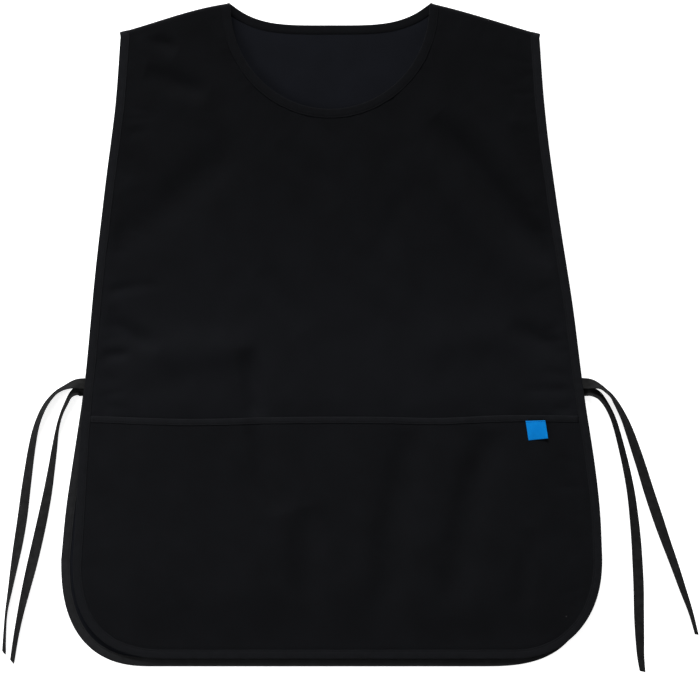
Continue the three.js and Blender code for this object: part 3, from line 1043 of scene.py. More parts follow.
@dataclass
class ClothSheet:
    """One panel of cloth, as a fine net of points on each side of its middle.

    Attributes:
        name: the piece's name.
        cut: its flat outline.
        finish: its cloth.
        slot: the record's slot for it; not used.
        flat: width and length of the cloth it was cut from; not used.
        area: area of the cut; not used.
        rests_on: names of what it lies on; not used.
        columns: cells from the middle to a side.
        corner_rows: rows of cells up the bottom corners.
        side_rows: rows of cells from there to the neckline.
        neck_rows: rows of cells beside the neckline.
        roll_rows: rows of cells over the shoulder.
        roll: how it rolls over the shoulder.
        thickness: thickness of the cloth.
        halves: the points of each side once it is shaped, in rows from the hem up.
        ups: the upward direction at each of those points.
    """

    name: str
    cut: Outline
    finish: ClothFinish
    slot: Slot
    flat: tuple[float, float]
    area: float
    rests_on: tuple[str, ...] = ()
    columns: int = 72
    corner_rows: int = 44
    side_rows: int = 130
    neck_rows: int = 58
    roll_rows: int = 8
    roll: Roll = Roll.FROM_ABOVE
    thickness: float = 0.8 * MM
    halves: dict[Side, Array] = field(default_factory=dict)
    ups: dict[Side, Array] = field(default_factory=dict)

    # How much rows crowd towards the hem, and what makes a row's arch as high as its bow.
    CROWDING = 0.8
    ARCH = 27.0 / 4.0
    # The roll over the shoulder: its radius, the height of its middle, and the turn at its seam.
    ROLL_RADIUS = 4.0 * MM
    ROLL_CENTRE = 5.8 * MM
    ROLL_END = math.radians(88.5)

    def height(self, points: Array, from_edge: Array, place: Array) -> Array:
        """Height of the cloth's middle over flat points, which each panel gives in its own way."""
        raise NotImplementedError

    def corner_heights(self) -> Array:
        """Heights of the rows round the corners, closer together where they turn."""
        turn = np.cos(np.linspace(0.0, math.pi / 2.0, self.corner_rows + 1)) ** self.CROWDING
        return self.cut.corner_top + (self.cut.hem - self.cut.corner_top) * turn

    def row_ends(self, side: Side) -> RowEnds:
        """The ends of each row, from the hem up.

        Args:
            side: left or right.

        Returns:
            The rows' ends and their arch.
        """
        share = np.linspace(0.0, 1.0, self.side_rows + 1)[1:]
        low, slant = self.cut.corner_top, self.cut.slant
        inner_y = np.concatenate([self.corner_heights(), low + (self.cut.neck.lowest - low) * share])
        outer_y = np.concatenate([self.corner_heights(), low + (slant - low) * share])
        share = np.linspace(0.0, 1.0, self.neck_rows + 1)[1:]
        bow = np.concatenate([np.zeros(len(inner_y)), SHOULDER_BOWS[side] * share ** 2])
        outer_y = np.concatenate([outer_y, slant + (SHOULDER_TIPS[side] - slant) * share])
        neck = self.cut.neck.points(share * math.pi / 2.0, side)
        inner = np.concatenate([self.cut.middle(inner_y), neck])
        return RowEnds(inner, self.cut.edge(outer_y, side), bow)

    def flat_net(self, side: Side) -> Array:
        """The flat points of one side.

        Args:
            side: left or right.

        Returns:
            Rows from the hem up, of points from the middle out.
        """
        inner, outer, bow = self.row_ends(side)
        share = np.linspace(0.0, 1.0, self.columns + 1)[None, :, None]
        slope = unit(outer - inner)
        across = side.value * np.stack([-slope[:, 1], slope[:, 0]], axis=1)
        arch = self.ARCH * (bow[:, None] * across)[:, None, :] * share * (1.0 - share) ** 2
        return inner[:, None, :] * (1.0 - share) + outer[:, None, :] * share + arch

    @property
    def neck_start(self) -> int:
        """Number of the row that starts at the neckline's lowest point."""
        return self.corner_rows + self.side_rows

    def edge_lines(self, nets: dict[Side, Array]) -> list[Array]:
        """The bound edges: hem, sides, shoulders and neckline.

        Args:
            nets: the flat net of each side.

        Returns:
            One line for each side, with rows of x and y.
        """
        lines = []
        for net in nets.values():
            neck = net[self.neck_start:-1, 0][::-1]
            lines.append(np.concatenate([net[0], net[1:, -1], net[-1, ::-1][1:], neck]))
        return lines

    def shape(self) -> None:
        """Works out where the cloth lies."""
        nets = {side: self.flat_net(side) for side in Side}
        edges = EdgeFinder(self.edge_lines(nets))
        for side, net in nets.items():
            points = net.reshape(-1, 2)
            height = self.height(points, *edges.measure(points)).reshape(net.shape[:2])
            self.halves[side] = np.dstack([net, height])
            self.ups[side] = np.broadcast_to(UP, self.halves[side].shape)
            if self.roll_rows:
                self.add_roll(side, net[-1])

    def add_roll(self, side: Side, shoulder: Array) -> None:
        """Rolls the cloth over the shoulder to the seam.

        Args:
            side: left or right.
            shoulder: the shoulder line, with rows of x and y.
        """
        slope = unit(shoulder[-1] - shoulder[0])
        out = side.value * np.array([-slope[1], slope[0], 0.0])
        widening = np.linspace(1.0, 0.0, len(shoulder))[:, None]
        flare = self.cut.neck.flare * widening * np.append(slope, 0.0)
        rows, ups = [], []
        for angle in np.linspace(0.0, self.ROLL_END, self.roll_rows + 1):
            row = np.column_stack([shoulder, np.full(len(shoulder), self.ROLL_CENTRE)])
            row += (out * self.ROLL_RADIUS + flare) * math.sin(angle)
            row[:, 2] += self.roll.value * self.ROLL_RADIUS * math.cos(angle)
            rows.append(row)
            up = UP * math.cos(angle) + out * self.roll.value * math.sin(angle)
            ups.append(np.broadcast_to(up, row.shape))
        self.halves[side] = np.concatenate([self.halves[side][:-1], np.stack(rows)])
        self.ups[side] = np.concatenate([self.ups[side][:-1], np.stack(ups)])

    def draft(self) -> MeshDraft:
        """Joins both sides into one sheet.

        Returns:
            The sheet's middle surface, facing up.
        """
        left, right = self.halves[Side.LEFT], self.halves[Side.RIGHT]
        rows, columns = left.shape[:2]
        numbers = {Side.LEFT: np.arange(rows * columns).reshape(rows, columns)}
        numbers[Side.RIGHT] = numbers[Side.LEFT] + rows * columns
        shared = min(self.neck_start, rows - 1) + 1
        numbers[Side.RIGHT][:shared, 0] = numbers[Side.LEFT][:shared, 0]
        points = np.concatenate([left.reshape(-1, 3), right.reshape(-1, 3)])
        faces = [net_cells(net)[:, ::side.value] for side, net in numbers.items()]
        used, quads = np.unique(np.concatenate(faces), return_inverse=True)
        quads = quads.reshape(-1, 4)
        points = points[used]
        flat = self.flat_places(left, right)[used]
        return MeshDraft(points, quads.tolist(), flat[quads.ravel()])

    def flat_places(self, left: Array, right: Array) -> Array:
        """Where each point lay on the flat cloth, for the weave.

        Args:
            left: the net of the left side.
            right: the net of the right side.

        Returns:
            Rows of two lengths.
        """
        places = []
        for net in (left, right):
            flat = net[..., :2].copy()
            if self.roll_rows:
                rise = np.linalg.norm(np.diff(net, axis=0), axis=2)
                up = np.concatenate([np.zeros((1, net.shape[1])), np.cumsum(rise, axis=0)])
                start = -self.roll_rows - 1
                flat[start:, :, 1] = flat[start, :, 1] + up[start:] - up[start]
            places.append(flat.reshape(-1, 2))
        return np.concatenate(places)

    def build(self) -> Object:
        """Returns:
            The panel.
        """
        self.shape()
        piece = self.draft().finish(self.name, self.finish.material())
        thicken(piece, "cloth_wall", self.thickness)
        declare(piece, self.name)
        return piece

    @staticmethod
    def round_hem(nets: dict[Side, Array]) -> Array:
        """Reads the outer edge off the nets of both sides.

        Args:
            nets: points or directions of each side.

        Returns:
            Those along the edge, from the right shoulder round the hem to the left one.
        """
        left, right = nets[Side.LEFT], nets[Side.RIGHT]
        down = right[1:, -1][::-1]
        return np.concatenate([down, right[0][::-1], left[0][1:], left[1:, -1]])

    def outer_edge(self) -> Station:
        """The bound edge, clockwise from the right shoulder round the hem to the left one.

        Returns:
            Stations along the edge.
        """
        mid, up = self.round_hem(self.halves), self.round_hem(self.ups)
        travel = np.gradient(mid, axis=0)
        out = unit(np.cross(up, travel))
        if self.roll_rows:
            count = self.roll_rows + 1
            for side, stretch in ((Side.RIGHT, slice(None, count)), (Side.LEFT, slice(-count, None))):
                shoulder = self.halves[side][-1]
                out[stretch] = unit(shoulder[-1] - shoulder[-2])
        return Station(mid, up, out)

    def neck_edge(self, side: Side) -> Station:
        """One side of the neckline, from its middle to the shoulder's seam.

        Args:
            side: left or right.

        Returns:
            Stations along the neckline.
        """
        mid = self.halves[side][self.neck_start:, 0]
        up = self.ups[side][self.neck_start:, 0]
        return Station(mid, up, np.zeros_like(mid))


@dataclass
class FrontPanel(ClothSheet):
    """The front panel, which climbs to the shoulders, puffs a little at the chest and folds.

    Attributes:
        hem_height: height of its edge along the lower sides.
        shoulder_height: height of its edge at the shoulders.
        climb: where it climbs from one to the other.
        hem_drop: how far it sinks from there towards the hem.
        swell: how far it swells beside its binding.
        swell_end: where the swelling ends, below the shoulders.
        chest_puff: how far the chest puffs up.
        puff_size: how far the puff reaches across and along the apron.
        puff_y: where the middle of the puff lies.
        pocket_sag: how far it sags under the pocket.
        sag_end: where the sag ends, at the pocket's mouth.
        free: distances from the edge over which the puff and the sag come in.
        near: distances from the edge over which the folds come in.
        shown: where the folds come in, at the pocket's mouth.
        deepest: how far folds may rise or sink.
        ripple: height of its slow unevenness.
        pucker: height of the puckers along the binding.
        pucker_in: distances from the edge over which the puckers come in.
        pucker_reach: how far they reach from there.
    """

    hem_height: float = 5.8 * MM
    shoulder_height: float = 9.8 * MM
    climb: Span = Span(-40 * MM, 200 * MM)
    hem_drop: float = 1.5 * MM
    swell: float = 0.45 * MM
    swell_end: Span = Span(150 * MM, 230 * MM)
    chest_puff: float = 3.0 * MM
    puff_size: tuple[float, float] = (150 * MM, 110 * MM)
    puff_y: float = 110 * MM
    pocket_sag: float = 1.0 * MM
    sag_end: Span = Span(-130 * MM, -90 * MM)
    free: Span = Span(12 * MM, 48 * MM)
    near: Span = Span(7 * MM, 24 * MM)
    shown: Span = Span(-110 * MM, -80 * MM)
    deepest: float = 10 * MM
    ripple: float = 0.25 * MM
    pucker: float = 0.35 * MM
    pucker_in: Span = Span(6 * MM, 11 * MM)
    pucker_reach: float = 9 * MM

    RIPPLES = Waves(11, 90 * MM, 26 * MM)
    PUCKERS = Waves(12, 60 * MM, 11 * MM)

    def height(self, points: Array, from_edge: Array, place: Array) -> Array:
        """Height of the cloth's middle over flat points.

        Args:
            points: rows of x and y.
            from_edge: distance from the cloth's own edge.
            place: where along the edge the nearest point lies.

        Returns:
            Heights above the floor.
        """
        x, y = points.T
        level = self.hem_height + (self.shoulder_height - self.hem_height) * self.climb.share(y)
        level -= self.hem_drop * near_hem(y)
        level += self.swell * beside_tape(from_edge) * (1.0 - self.swell_end.share(y))
        across, along = self.puff_size
        puff = self.chest_puff * np.exp(-(x / across) ** 2 - ((y - self.puff_y) / along) ** 2)
        sag = self.pocket_sag * (1.0 - self.sag_end.share(y))
        free = self.free.share(from_edge)
        near = self.near.share(from_edge)
        folds = held_in(fold_height(points, FRONT_FOLDS + SIDE_CREASES), self.deepest)
        folds += self.ripple * self.RIPPLES.over(points)
        past = np.maximum(from_edge - self.pucker_in.high, 0.0)
        beside = self.pucker_in.share(from_edge) * np.exp(-past / self.pucker_reach)
        ruck = self.pucker * self.PUCKERS.along(place) * beside
        return level + free * (puff - sag) + self.shown.share(y) * (near * folds + ruck)


@dataclass
class BackPanel(ClothSheet):
    """The back panel, which lies on the floor and lifts over its own binding.

    Attributes:
        edge_height: height of its bound edge.
        lying_height: height where it lies.
        free: distances from the edge over which it comes down.
        ripple: usual height of its unevenness.
    """

    edge_height: float = 1.8 * MM
    lying_height: float = 0.5 * MM
    free: Span = Span(12 * MM, 48 * MM)
    ripple: float = 0.2 * MM

    RIPPLES = Waves(21, 80 * MM, 26 * MM)

    def height(self, points: Array, from_edge: Array, place: Array) -> Array:
        """Height of the cloth's middle over flat points.

        Args:
            points: rows of x and y.
            from_edge: distance from the cloth's own edge.
            place: where along the edge the nearest point lies; not used.

        Returns:
            Heights above the floor.
        """
        ripple = np.maximum(self.ripple * (1.0 + self.RIPPLES.over(points)), 0.0)
        drop = self.lying_height - self.edge_height
        return self.edge_height + self.free.share(from_edge) * (drop + ripple)


@dataclass
class Pocket(ClothSheet):
    """The pocket, which stands a little off the front panel and is open along its top.

    Attributes:
        edge_height: height of its sewn edge along the sides.
        hem_drop: how far it sinks from there towards the hem.
        swell: how far it swells beside its binding.
        puff: how far it stands off the front panel.
        held: depth of the stretch at the mouth that only repeats the folds below it.
        mouth_end: how far the mouth's tape stops short of each side.
        stray_depth: how far down the mouth's stray shifts the cloth.
        free: distances from the edge over which the puff and the folds come in.
        near: distances from the edge over which the creases come in.
        deepest: how far folds may rise or sink.
        ripple: height of its slow unevenness.
    """

    edge_height: float = 7.1 * MM
    hem_drop: float = 1.5 * MM
    swell: float = 0.45 * MM
    puff: float = 6.0 * MM
    held: float = 12 * MM
    mouth_end: float = 9.4 * MM
    stray_depth: float = 60 * MM
    free: Span = Span(9 * MM, 80 * MM)
    near: Span = Span(9 * MM, 26 * MM)
    deepest: float = 9 * MM
    ripple: float = 0.25 * MM

    RIPPLES = Waves(31, 90 * MM, 26 * MM)

    def row_ends(self, side: Side) -> RowEnds:
        """The ends of each row, from the hem to the mouth.

        Args:
            side: left or right.

        Returns:
            The rows' ends.
        """
        share = np.linspace(0.0, 1.0, self.side_rows + 1)[1:]
        low = self.cut.corner_top
        y = np.concatenate([self.corner_heights(), low + (MOUTH_Y - low) * share])
        return RowEnds(self.cut.middle(y), self.cut.edge(y, side), np.zeros(len(y)))

    def flat_net(self, side: Side) -> Array:
        """The flat points of one side, with a mouth that isn't quite straight.

        Args:
            side: left or right.

        Returns:
            Rows from the hem up, of points from the middle out.
        """
        net = super().flat_net(side)
        share = Span(MOUTH_Y - self.stray_depth, MOUTH_Y).share(net[..., 1])
        net[..., 1] += share * curve_at(MOUTH_STRAY, net[..., 0])
        return net

    def edge_lines(self, nets: dict[Side, Array]) -> list[Array]:
        """The sewn edges, hem and side, of each side's net."""
        return [np.concatenate([net[0], net[1:, -1]]) for net in nets.values()]

    def height(self, points: Array, from_edge: Array, place: Array) -> Array:
        """Height of the cloth's middle over flat points.

        Args:
            points: rows of x and y.
            from_edge: distance from the cloth's own edge.
            place: where along the edge the nearest point lies; not used.

        Returns:
            Heights above the floor.
        """
        still = points.copy()
        still[:, 1] = np.minimum(points[:, 1], MOUTH_Y - self.held)
        free = self.free.share(from_edge)
        near = self.near.share(from_edge)
        folds = held_in(fold_height(still, POCKET_FOLDS), self.deepest)
        creases = fold_height(still, POCKET_CREASES)
        creases += self.ripple * self.RIPPLES.over(still)
        level = self.edge_height - self.hem_drop * near_hem(points[:, 1])
        level += self.swell * beside_tape(from_edge)
        return level + free * (self.puff + folds) + near * creases

    def mouth(self) -> Station:
        """The open top edge from left to right, short of the side bindings.

        Returns:
            Stations along the mouth.
        """
        left, right = self.halves[Side.LEFT][-1], self.halves[Side.RIGHT][-1]
        mid = np.concatenate([left[::-1], right[1:]])
        length = running_length(mid)[-1]
        places = np.linspace(self.mouth_end, length - self.mouth_end, len(mid))
        return level_stations(along_line(mid, mid, places))


# Tape folded over the edges


def swept(stations: Station, section: Array, closed: bool) -> MeshDraft:
    """Sweeps a closed section along stations.

    Args:
        stations: where the section's own zero lies, with its out and up directions.
        section: rows of out and up lengths, for each station, counter-clockwise.
        closed: whether the last station joins the first.

    Returns:
        The swept solid; its flat coordinates run along and around it.
    """
    mid, up, out = stations
    count, around = section.shape[:2]
    points = mid[:, None, :] + out[:, None, :] * section[..., :1] + up[:, None, :] * section[..., 1:]
    numbers = np.arange(count * around).reshape(count, around)
    ends = np.concatenate([numbers, numbers[:1]]) if closed else numbers
    turned = np.roll(ends, -1, axis=1)
    quads = np.stack([ends[:-1], turned[:-1], turned[1:], ends[1:]], axis=-1).reshape(-1, 4)
    places = running_length(np.concatenate([mid, mid[:1]]) if closed else mid)
    girth = running_length(np.concatenate([section[0], section[0, :1]]))
    spans = len(ends) - 1
    u = np.stack([places[:-1], places[:-1], places[1:], places[1:]], axis=-1)
    v = np.stack([girth[:-1], girth[1:], girth[1:], girth[:-1]], axis=-1)
    uv = np.stack(np.broadcast_arrays(u[:spans, None, :], v[None, :, :]), axis=-1).reshape(-1, 2)
    faces = quads.tolist()
    if not closed:
        faces += [numbers[0][::-1].tolist(), numbers[-1].tolist()]
        uv = np.concatenate([uv, section[0][::-1], section[-1]])
    return MeshDraft(points.reshape(-1, 3), faces, uv)


@dataclass
class TapeSection:
    """The shape of a tape folded over an edge, and of the groove where it is sewn down.

    Attributes:
        band: how far the tape reaches in from the edge.
        leg_low: height of the tape's faces next to the cloth, from the cloth's middle.
        leg_high: height of its outer faces.
        fold: how far its fold stands out past the edge.
        seam: distance of the stitches from the tape's inner edge.
        groove: how deep the stitches pull the tape down.
    """

    band: float = 9.0 * MM
    leg_low: float = 0.42 * MM
    leg_high: float = 1.0 * MM
    fold: float = 1.1 * MM
    seam: float = 1.7 * MM
    groove: float = 0.2 * MM

    # Distances in from the fold, in millimetres, and directions round it, in degrees.
    FACE = (0.0, 1.5, 3.5, 5.2, 6.3, 6.9, 7.3, 7.7, 8.3, 8.75)
    LOWER_FACE = (5.0, 1.5, 0.2)
    BEND = (-65, -35, 0, 35, 65)
    # How far in the tape keeps to its line.
    FIRM = 5.0 * MM
    CROWN = 0.12 * MM
    GROOVE_WIDTH = 0.8 * MM
    # Room between the cloth's edge and the fold, and the bevels of the inner edges.
    ROOM = 0.1 * MM
    UPPER_BEVEL = 0.3 * MM
    LOWER_BEVEL = 0.6 * MM
    # Where those bevels end, as shares of the height of the outer faces.
    UPPER_END = 0.8
    LOWER_END = 0.6

    def top_at(self, inward: Array) -> Array:
        """Height of the tape's outer face.

        Args:
            inward: distance in from the fold's start.

        Returns:
            Heights above the cloth's middle.
        """
        crown = self.CROWN * np.sin(np.clip(inward / self.band, 0.0, 1.0) * math.pi)
        sewn = (inward - (self.band - self.seam)) / self.GROOVE_WIDTH
        return self.leg_high + crown - self.groove * np.exp(-sewn * sewn)

    def bend(self) -> Profile:
        """Points round the fold, from below."""
        turns = np.radians(self.BEND)
        return [(self.fold * math.cos(t), self.leg_high * math.sin(t)) for t in turns]

    def face(self) -> Profile:
        """Points of the upper face, from the fold in."""
        inward = np.array(self.FACE) * MM
        return [(-d, h) for d, h in zip(inward, self.top_at(inward))]

    def tip(self) -> Profile:
        """Points round the upper leg's inner edge, and back under the leg to the fold.

        Returns:
            Out and up lengths.
        """
        middle = 0.5 * (self.leg_low + self.leg_high)
        edge = [(-self.band, self.UPPER_END * self.leg_high), (-self.band, middle)]
        return edge + [(self.UPPER_BEVEL - self.band, self.leg_low), (self.ROOM, self.leg_low)]

    def outline(self) -> Profile:
        """The section over bare cloth, counter-clockwise from the lower leg's inner edge.

        Returns:
            Out and up lengths.
        """
        low = -self.leg_high
        start = [(-self.band, self.LOWER_END * low), (self.LOWER_BEVEL - self.band, low)]
        lower = [(-inward * MM, low) for inward in self.LOWER_FACE]
        back = [(self.ROOM, -self.leg_low), (self.UPPER_BEVEL - self.band, -self.leg_low)]
        return start + lower + self.bend() + self.face() + self.tip() + back

    def rows(self, cover: Array, wander: Array) -> Array:
        """The section at each station.

        Args:
            cover: thickness of other cloth that the upper leg also covers.
            wander: how far the inner edge strays.

        Returns:
            For each station, rows of out and up lengths, counter-clockwise.
        """
        shape = np.array(self.outline())
        rows = np.repeat(shape[None], len(cover), axis=0)
        raised = shape[:, 1] > 0.0
        rows[:, raised, 1] += cover[:, None]
        inmost = np.clip((-shape[:, 0] - self.FIRM) / (self.band - self.FIRM), 0.0, 1.0) * raised
        rows[..., 0] += wander[:, None] * inmost[None, :]
        return rows


@dataclass
class MouthSection(TapeSection):
    """The hem along the pocket's mouth, whose under side is the pocket's own cloth."""

    band: float = 6.0 * MM
    seam: float = 1.4 * MM

    FACE = (0.0, 1.2, 2.5, 3.4, 3.9, 4.3, 4.6, 4.9, 5.4, 5.8)
    BEND = (-30, 0, 35, 65)
    FIRM = 3.0 * MM
    LIP = ((0.1 * MM, -0.6 * MM), (0.8 * MM, -0.75 * MM))

    def outline(self) -> Profile:
        """The section, counter-clockwise from its lip."""
        return [*self.LIP, *self.bend(), *self.face(), *self.tip()]


@dataclass
class Binding:
    """Tape folded over the edges of the cloth and sewn down.

    Attributes:
        name: the piece's name.
        slot: the record's slot for it; not used.
        section: the tape's folded shape.
        closed: whether it is a ring.
        step: distance between its stations.
        seed: start of its wander.
        stray: how far its inner edge strays.
        longest: longest wavelength of the stray.
        shortest: shortest wavelength of the stray.
        stations: stations along the edge, once it is laid.
        cover: thickness of other cloth under the upper leg at each of them.
    """

    name: str
    slot: Slot = Slot.BINDING
    section: TapeSection = field(default_factory=TapeSection)
    closed: bool = False
    step: float = 2.5 * MM
    seed: int = 41
    stray: float = 0.22 * MM
    longest: float = 70 * MM
    shortest: float = 9 * MM
    stations: Station | None = None
    cover: Array | None = None

    def lay(self, edge: Station, cover_at: Callable[[Array], Array] | None = None) -> None:
        """Spaces stations evenly along an edge.

        Args:
            edge: stations along the cloth's edge.
            cover_at: gives the thickness of other cloth under the upper leg at points of the edge.
        """
        rows = np.concatenate([edge.mid, edge.up, edge.out], axis=1)
        if self.closed:
            rows = np.concatenate([rows, rows[:1]])
        length = running_length(rows[:, :3])[-1]
        count = int(length / self.step)
        places = np.linspace(0.0, length, count + 1)[: count if self.closed else count + 1]
        mid, up, out = np.split(along_line(rows[:, :3], rows, places), 3, axis=1)
        self.stations = Station(mid, unit(up), unit(self.softened(out)))
        self.cover = np.zeros(len(mid)) if cover_at is None else cover_at(mid)

    def softened(self, rows: Array, reach: int = 3) -> Array:
        """Evens out sudden turns.

        Args:
            rows: directions along the edge.
            reach: how many stations each way count.

        Returns:
            The mean of each row and its neighbours.
        """
        mode = "wrap" if self.closed else "edge"
        wide = np.pad(rows, ((reach, reach), (0, 0)), mode=mode)
        return sum(wide[i: i + len(rows)] for i in range(2 * reach + 1)) / (2 * reach + 1)

    def build(self, finish: TapeFinish) -> Object:
        """Args:
            finish: the tape.

        Returns:
            The binding.
        """
        places = running_length(self.stations.mid)
        wander = self.stray * Waves(self.seed, self.longest, self.shortest).along(places)
        rows = self.section.rows(self.cover, wander)
        piece = swept(self.stations, rows, self.closed).finish(self.name, finish.material())
        declare(piece, self.name)
        return piece

    def seam(self, sunk: float = 0.1 * MM) -> Station:
        """The line that a row of stitches follows in the groove of the tape's upper face.

        Args:
            sunk: how far the thread sinks into the tape.

        Returns:
            Stations along the row.
        """
        mid, up, out = self.stations
        inward = self.section.band - self.section.seam
        high = self.section.top_at(np.array([inward]))[0] - sunk + self.cover
        return Station(mid - out * inward + up * high[:, None], up, out)


def half_ring(front: ClothSheet, back: ClothSheet, side: Side) -> tuple[Array, Array]:
    """One side of both necklines, from the middle of the front to the middle of the back.

    Args:
        front: the front panel.
        back: the back panel.
        side: left or right.

    Returns:
        Points, and the direction of the tape's outer face at each.
    """
    ahead, behind = front.neck_edge(side), back.neck_edge(side)
    mid = np.concatenate([ahead.mid, behind.mid[::-1]])
    up = np.concatenate([ahead.up, -behind.up[::-1]])
    return mid, up


def neck_ring(front: ClothSheet, back: ClothSheet) -> Station:
    """The edge of both necklines as one ring, from the middle of the front.

    Args:
        front: the front panel.
        back: the back panel.

    Returns:
        Stations round the neck; the tape's outer face turns down behind the shoulders.
    """
    right_mid, right_up = half_ring(front, back, Side.RIGHT)
    left_mid, left_up = half_ring(front, back, Side.LEFT)
    mid = np.concatenate([right_mid, left_mid[::-1][1:-1]])
    up = np.concatenate([right_up, left_up[::-1][1:-1]])
    travel = np.roll(mid, -1, axis=0) - np.roll(mid, 1, axis=0)
    out = np.cross(up, travel)
    out[:, 2] = 0.0
    return Station(mid, up, unit(out))


# Ties


class Turn(NamedTuple):
    """A point of a tie's route, in millimetres and degrees.

    Tilt turns the tape from flat (0) towards on edge (90), and lift raises it off the floor.
    """

    x: float
    y: float
    tilt: float
    lift: float = 0.0


TIE_ROUTES = {
    "tie_front_left": (
        Turn(-274.8, -54.4, 0, 4.9), Turn(-283.6, -54.8, 33, 1.4), Turn(-294.7, -58.4, 64),
        Turn(-303.9, -63.4, 70), Turn(-311.1, -70.4, 67), Turn(-317.3, -79, 62), Turn(-321.9, -88, 59),
        Turn(-325.4, -97, 56), Turn(-328.8, -109, 50), Turn(-332.5, -128.2, 42),
        Turn(-335.5, -148.2, 35), Turn(-339.2, -174.8, 24), Turn(-342.6, -201.5, 18),
        Turn(-346.7, -228.1, 24), Turn(-351.3, -254.7, 42), Turn(-355.8, -281.4, 60),
        Turn(-360.2, -308, 73), Turn(-362.1, -334.7, 70), Turn(-362.8, -352.4, 64),
    ),
    "tie_back_left": (
        Turn(-277.9, -62.4, 0, 0.9), Turn(-283.6, -63.4, 38), Turn(-289.3, -67.9, 62),
        Turn(-294.1, -77.1, 67), Turn(-298.4, -86.6, 70), Turn(-301.7, -96.6, 70),
        Turn(-304.3, -108.8, 66), Turn(-307.2, -128.2, 54), Turn(-310.2, -148.2, 46),
        Turn(-314.6, -174.8, 31), Turn(-320, -201.5, 18), Turn(-325.9, -228.1, 10),
        Turn(-332.1, -254.7, 14), Turn(-338.4, -281.4, 32), Turn(-344.4, -308, 48),
        Turn(-349.5, -334.7, 57), Turn(-353.8, -362.4, 61),
    ),
    "tie_front_right": (
        Turn(280.1, -54.2, 0, 4.9), Turn(288.6, -54.8, -32, 1.7), Turn(298, -58, -64),
        Turn(305.8, -63.9, -70), Turn(310.8, -68.9, -68), Turn(314.6, -74.8, -61),
        Turn(318.8, -82, -55), Turn(324.8, -94, -47), Turn(330.2, -107.4, -36),
        Turn(337.5, -128.2, -25), Turn(344.1, -148.2, -19), Turn(352.4, -174.8, -10),
        Turn(361.3, -201.5, -8), Turn(370.3, -228.1, -24), Turn(379.9, -254.7, -36),
        Turn(389, -281.4, -47), Turn(398.1, -308, -61), Turn(404.6, -332.4, -68),
    ),
    "tie_back_right": (
        Turn(279.5, -62.4, 0, 0.9), Turn(284.2, -62.4, -12, 0.4), Turn(289.2, -63.6, -32),
        Turn(296.2, -67.4, -46), Turn(300.9, -72.6, -54), Turn(306, -80.4, -58), Turn(311.6, -92, -57),
        Turn(316.3, -106.4, -55), Turn(322, -128.2, -50), Turn(326.7, -148.2, -45),
        Turn(331.8, -174.8, -38), Turn(335.2, -201.5, -29), Turn(337.8, -228.1, -19),
        Turn(339.5, -254.7, -11), Turn(340.7, -281.4, -8), Turn(341, -308, -14),
        Turn(341.7, -334.7, -28), Turn(342.7, -356.9, -44), Turn(344.7, -373.5, -56),
    ),
}


def through(points: Array, fine: int) -> Array:
    """A smooth curve through points, with even changes of direction.

    Args:
        points: rows of numbers, of which the first three are a place.
        fine: steps from one point to the next.

    Returns:
        The rows along the curve.
    """
    wide = np.concatenate([2 * points[:1] - points[1:2], points, 2 * points[-1:] - points[-2:-1]])
    gaps = np.sqrt(np.linalg.norm(np.diff(wide[:, :3], axis=0), axis=1))
    rows = []
    for i in range(1, len(wide) - 2):
        before, here, after, next_one = wide[i - 1: i + 3]
        a, b, c = gaps[i - 1: i + 2]
        start = b * ((here - before) / a - (after - before) / (a + b) + (after - here) / b)
        end = b * ((after - here) / b - (next_one - here) / (b + c) + (next_one - after) / c)
        for t in np.arange(fine) / fine:
            rows.append(cubic_step(t, here, after - here, start, end))
    return np.array(rows + [points[-1]])


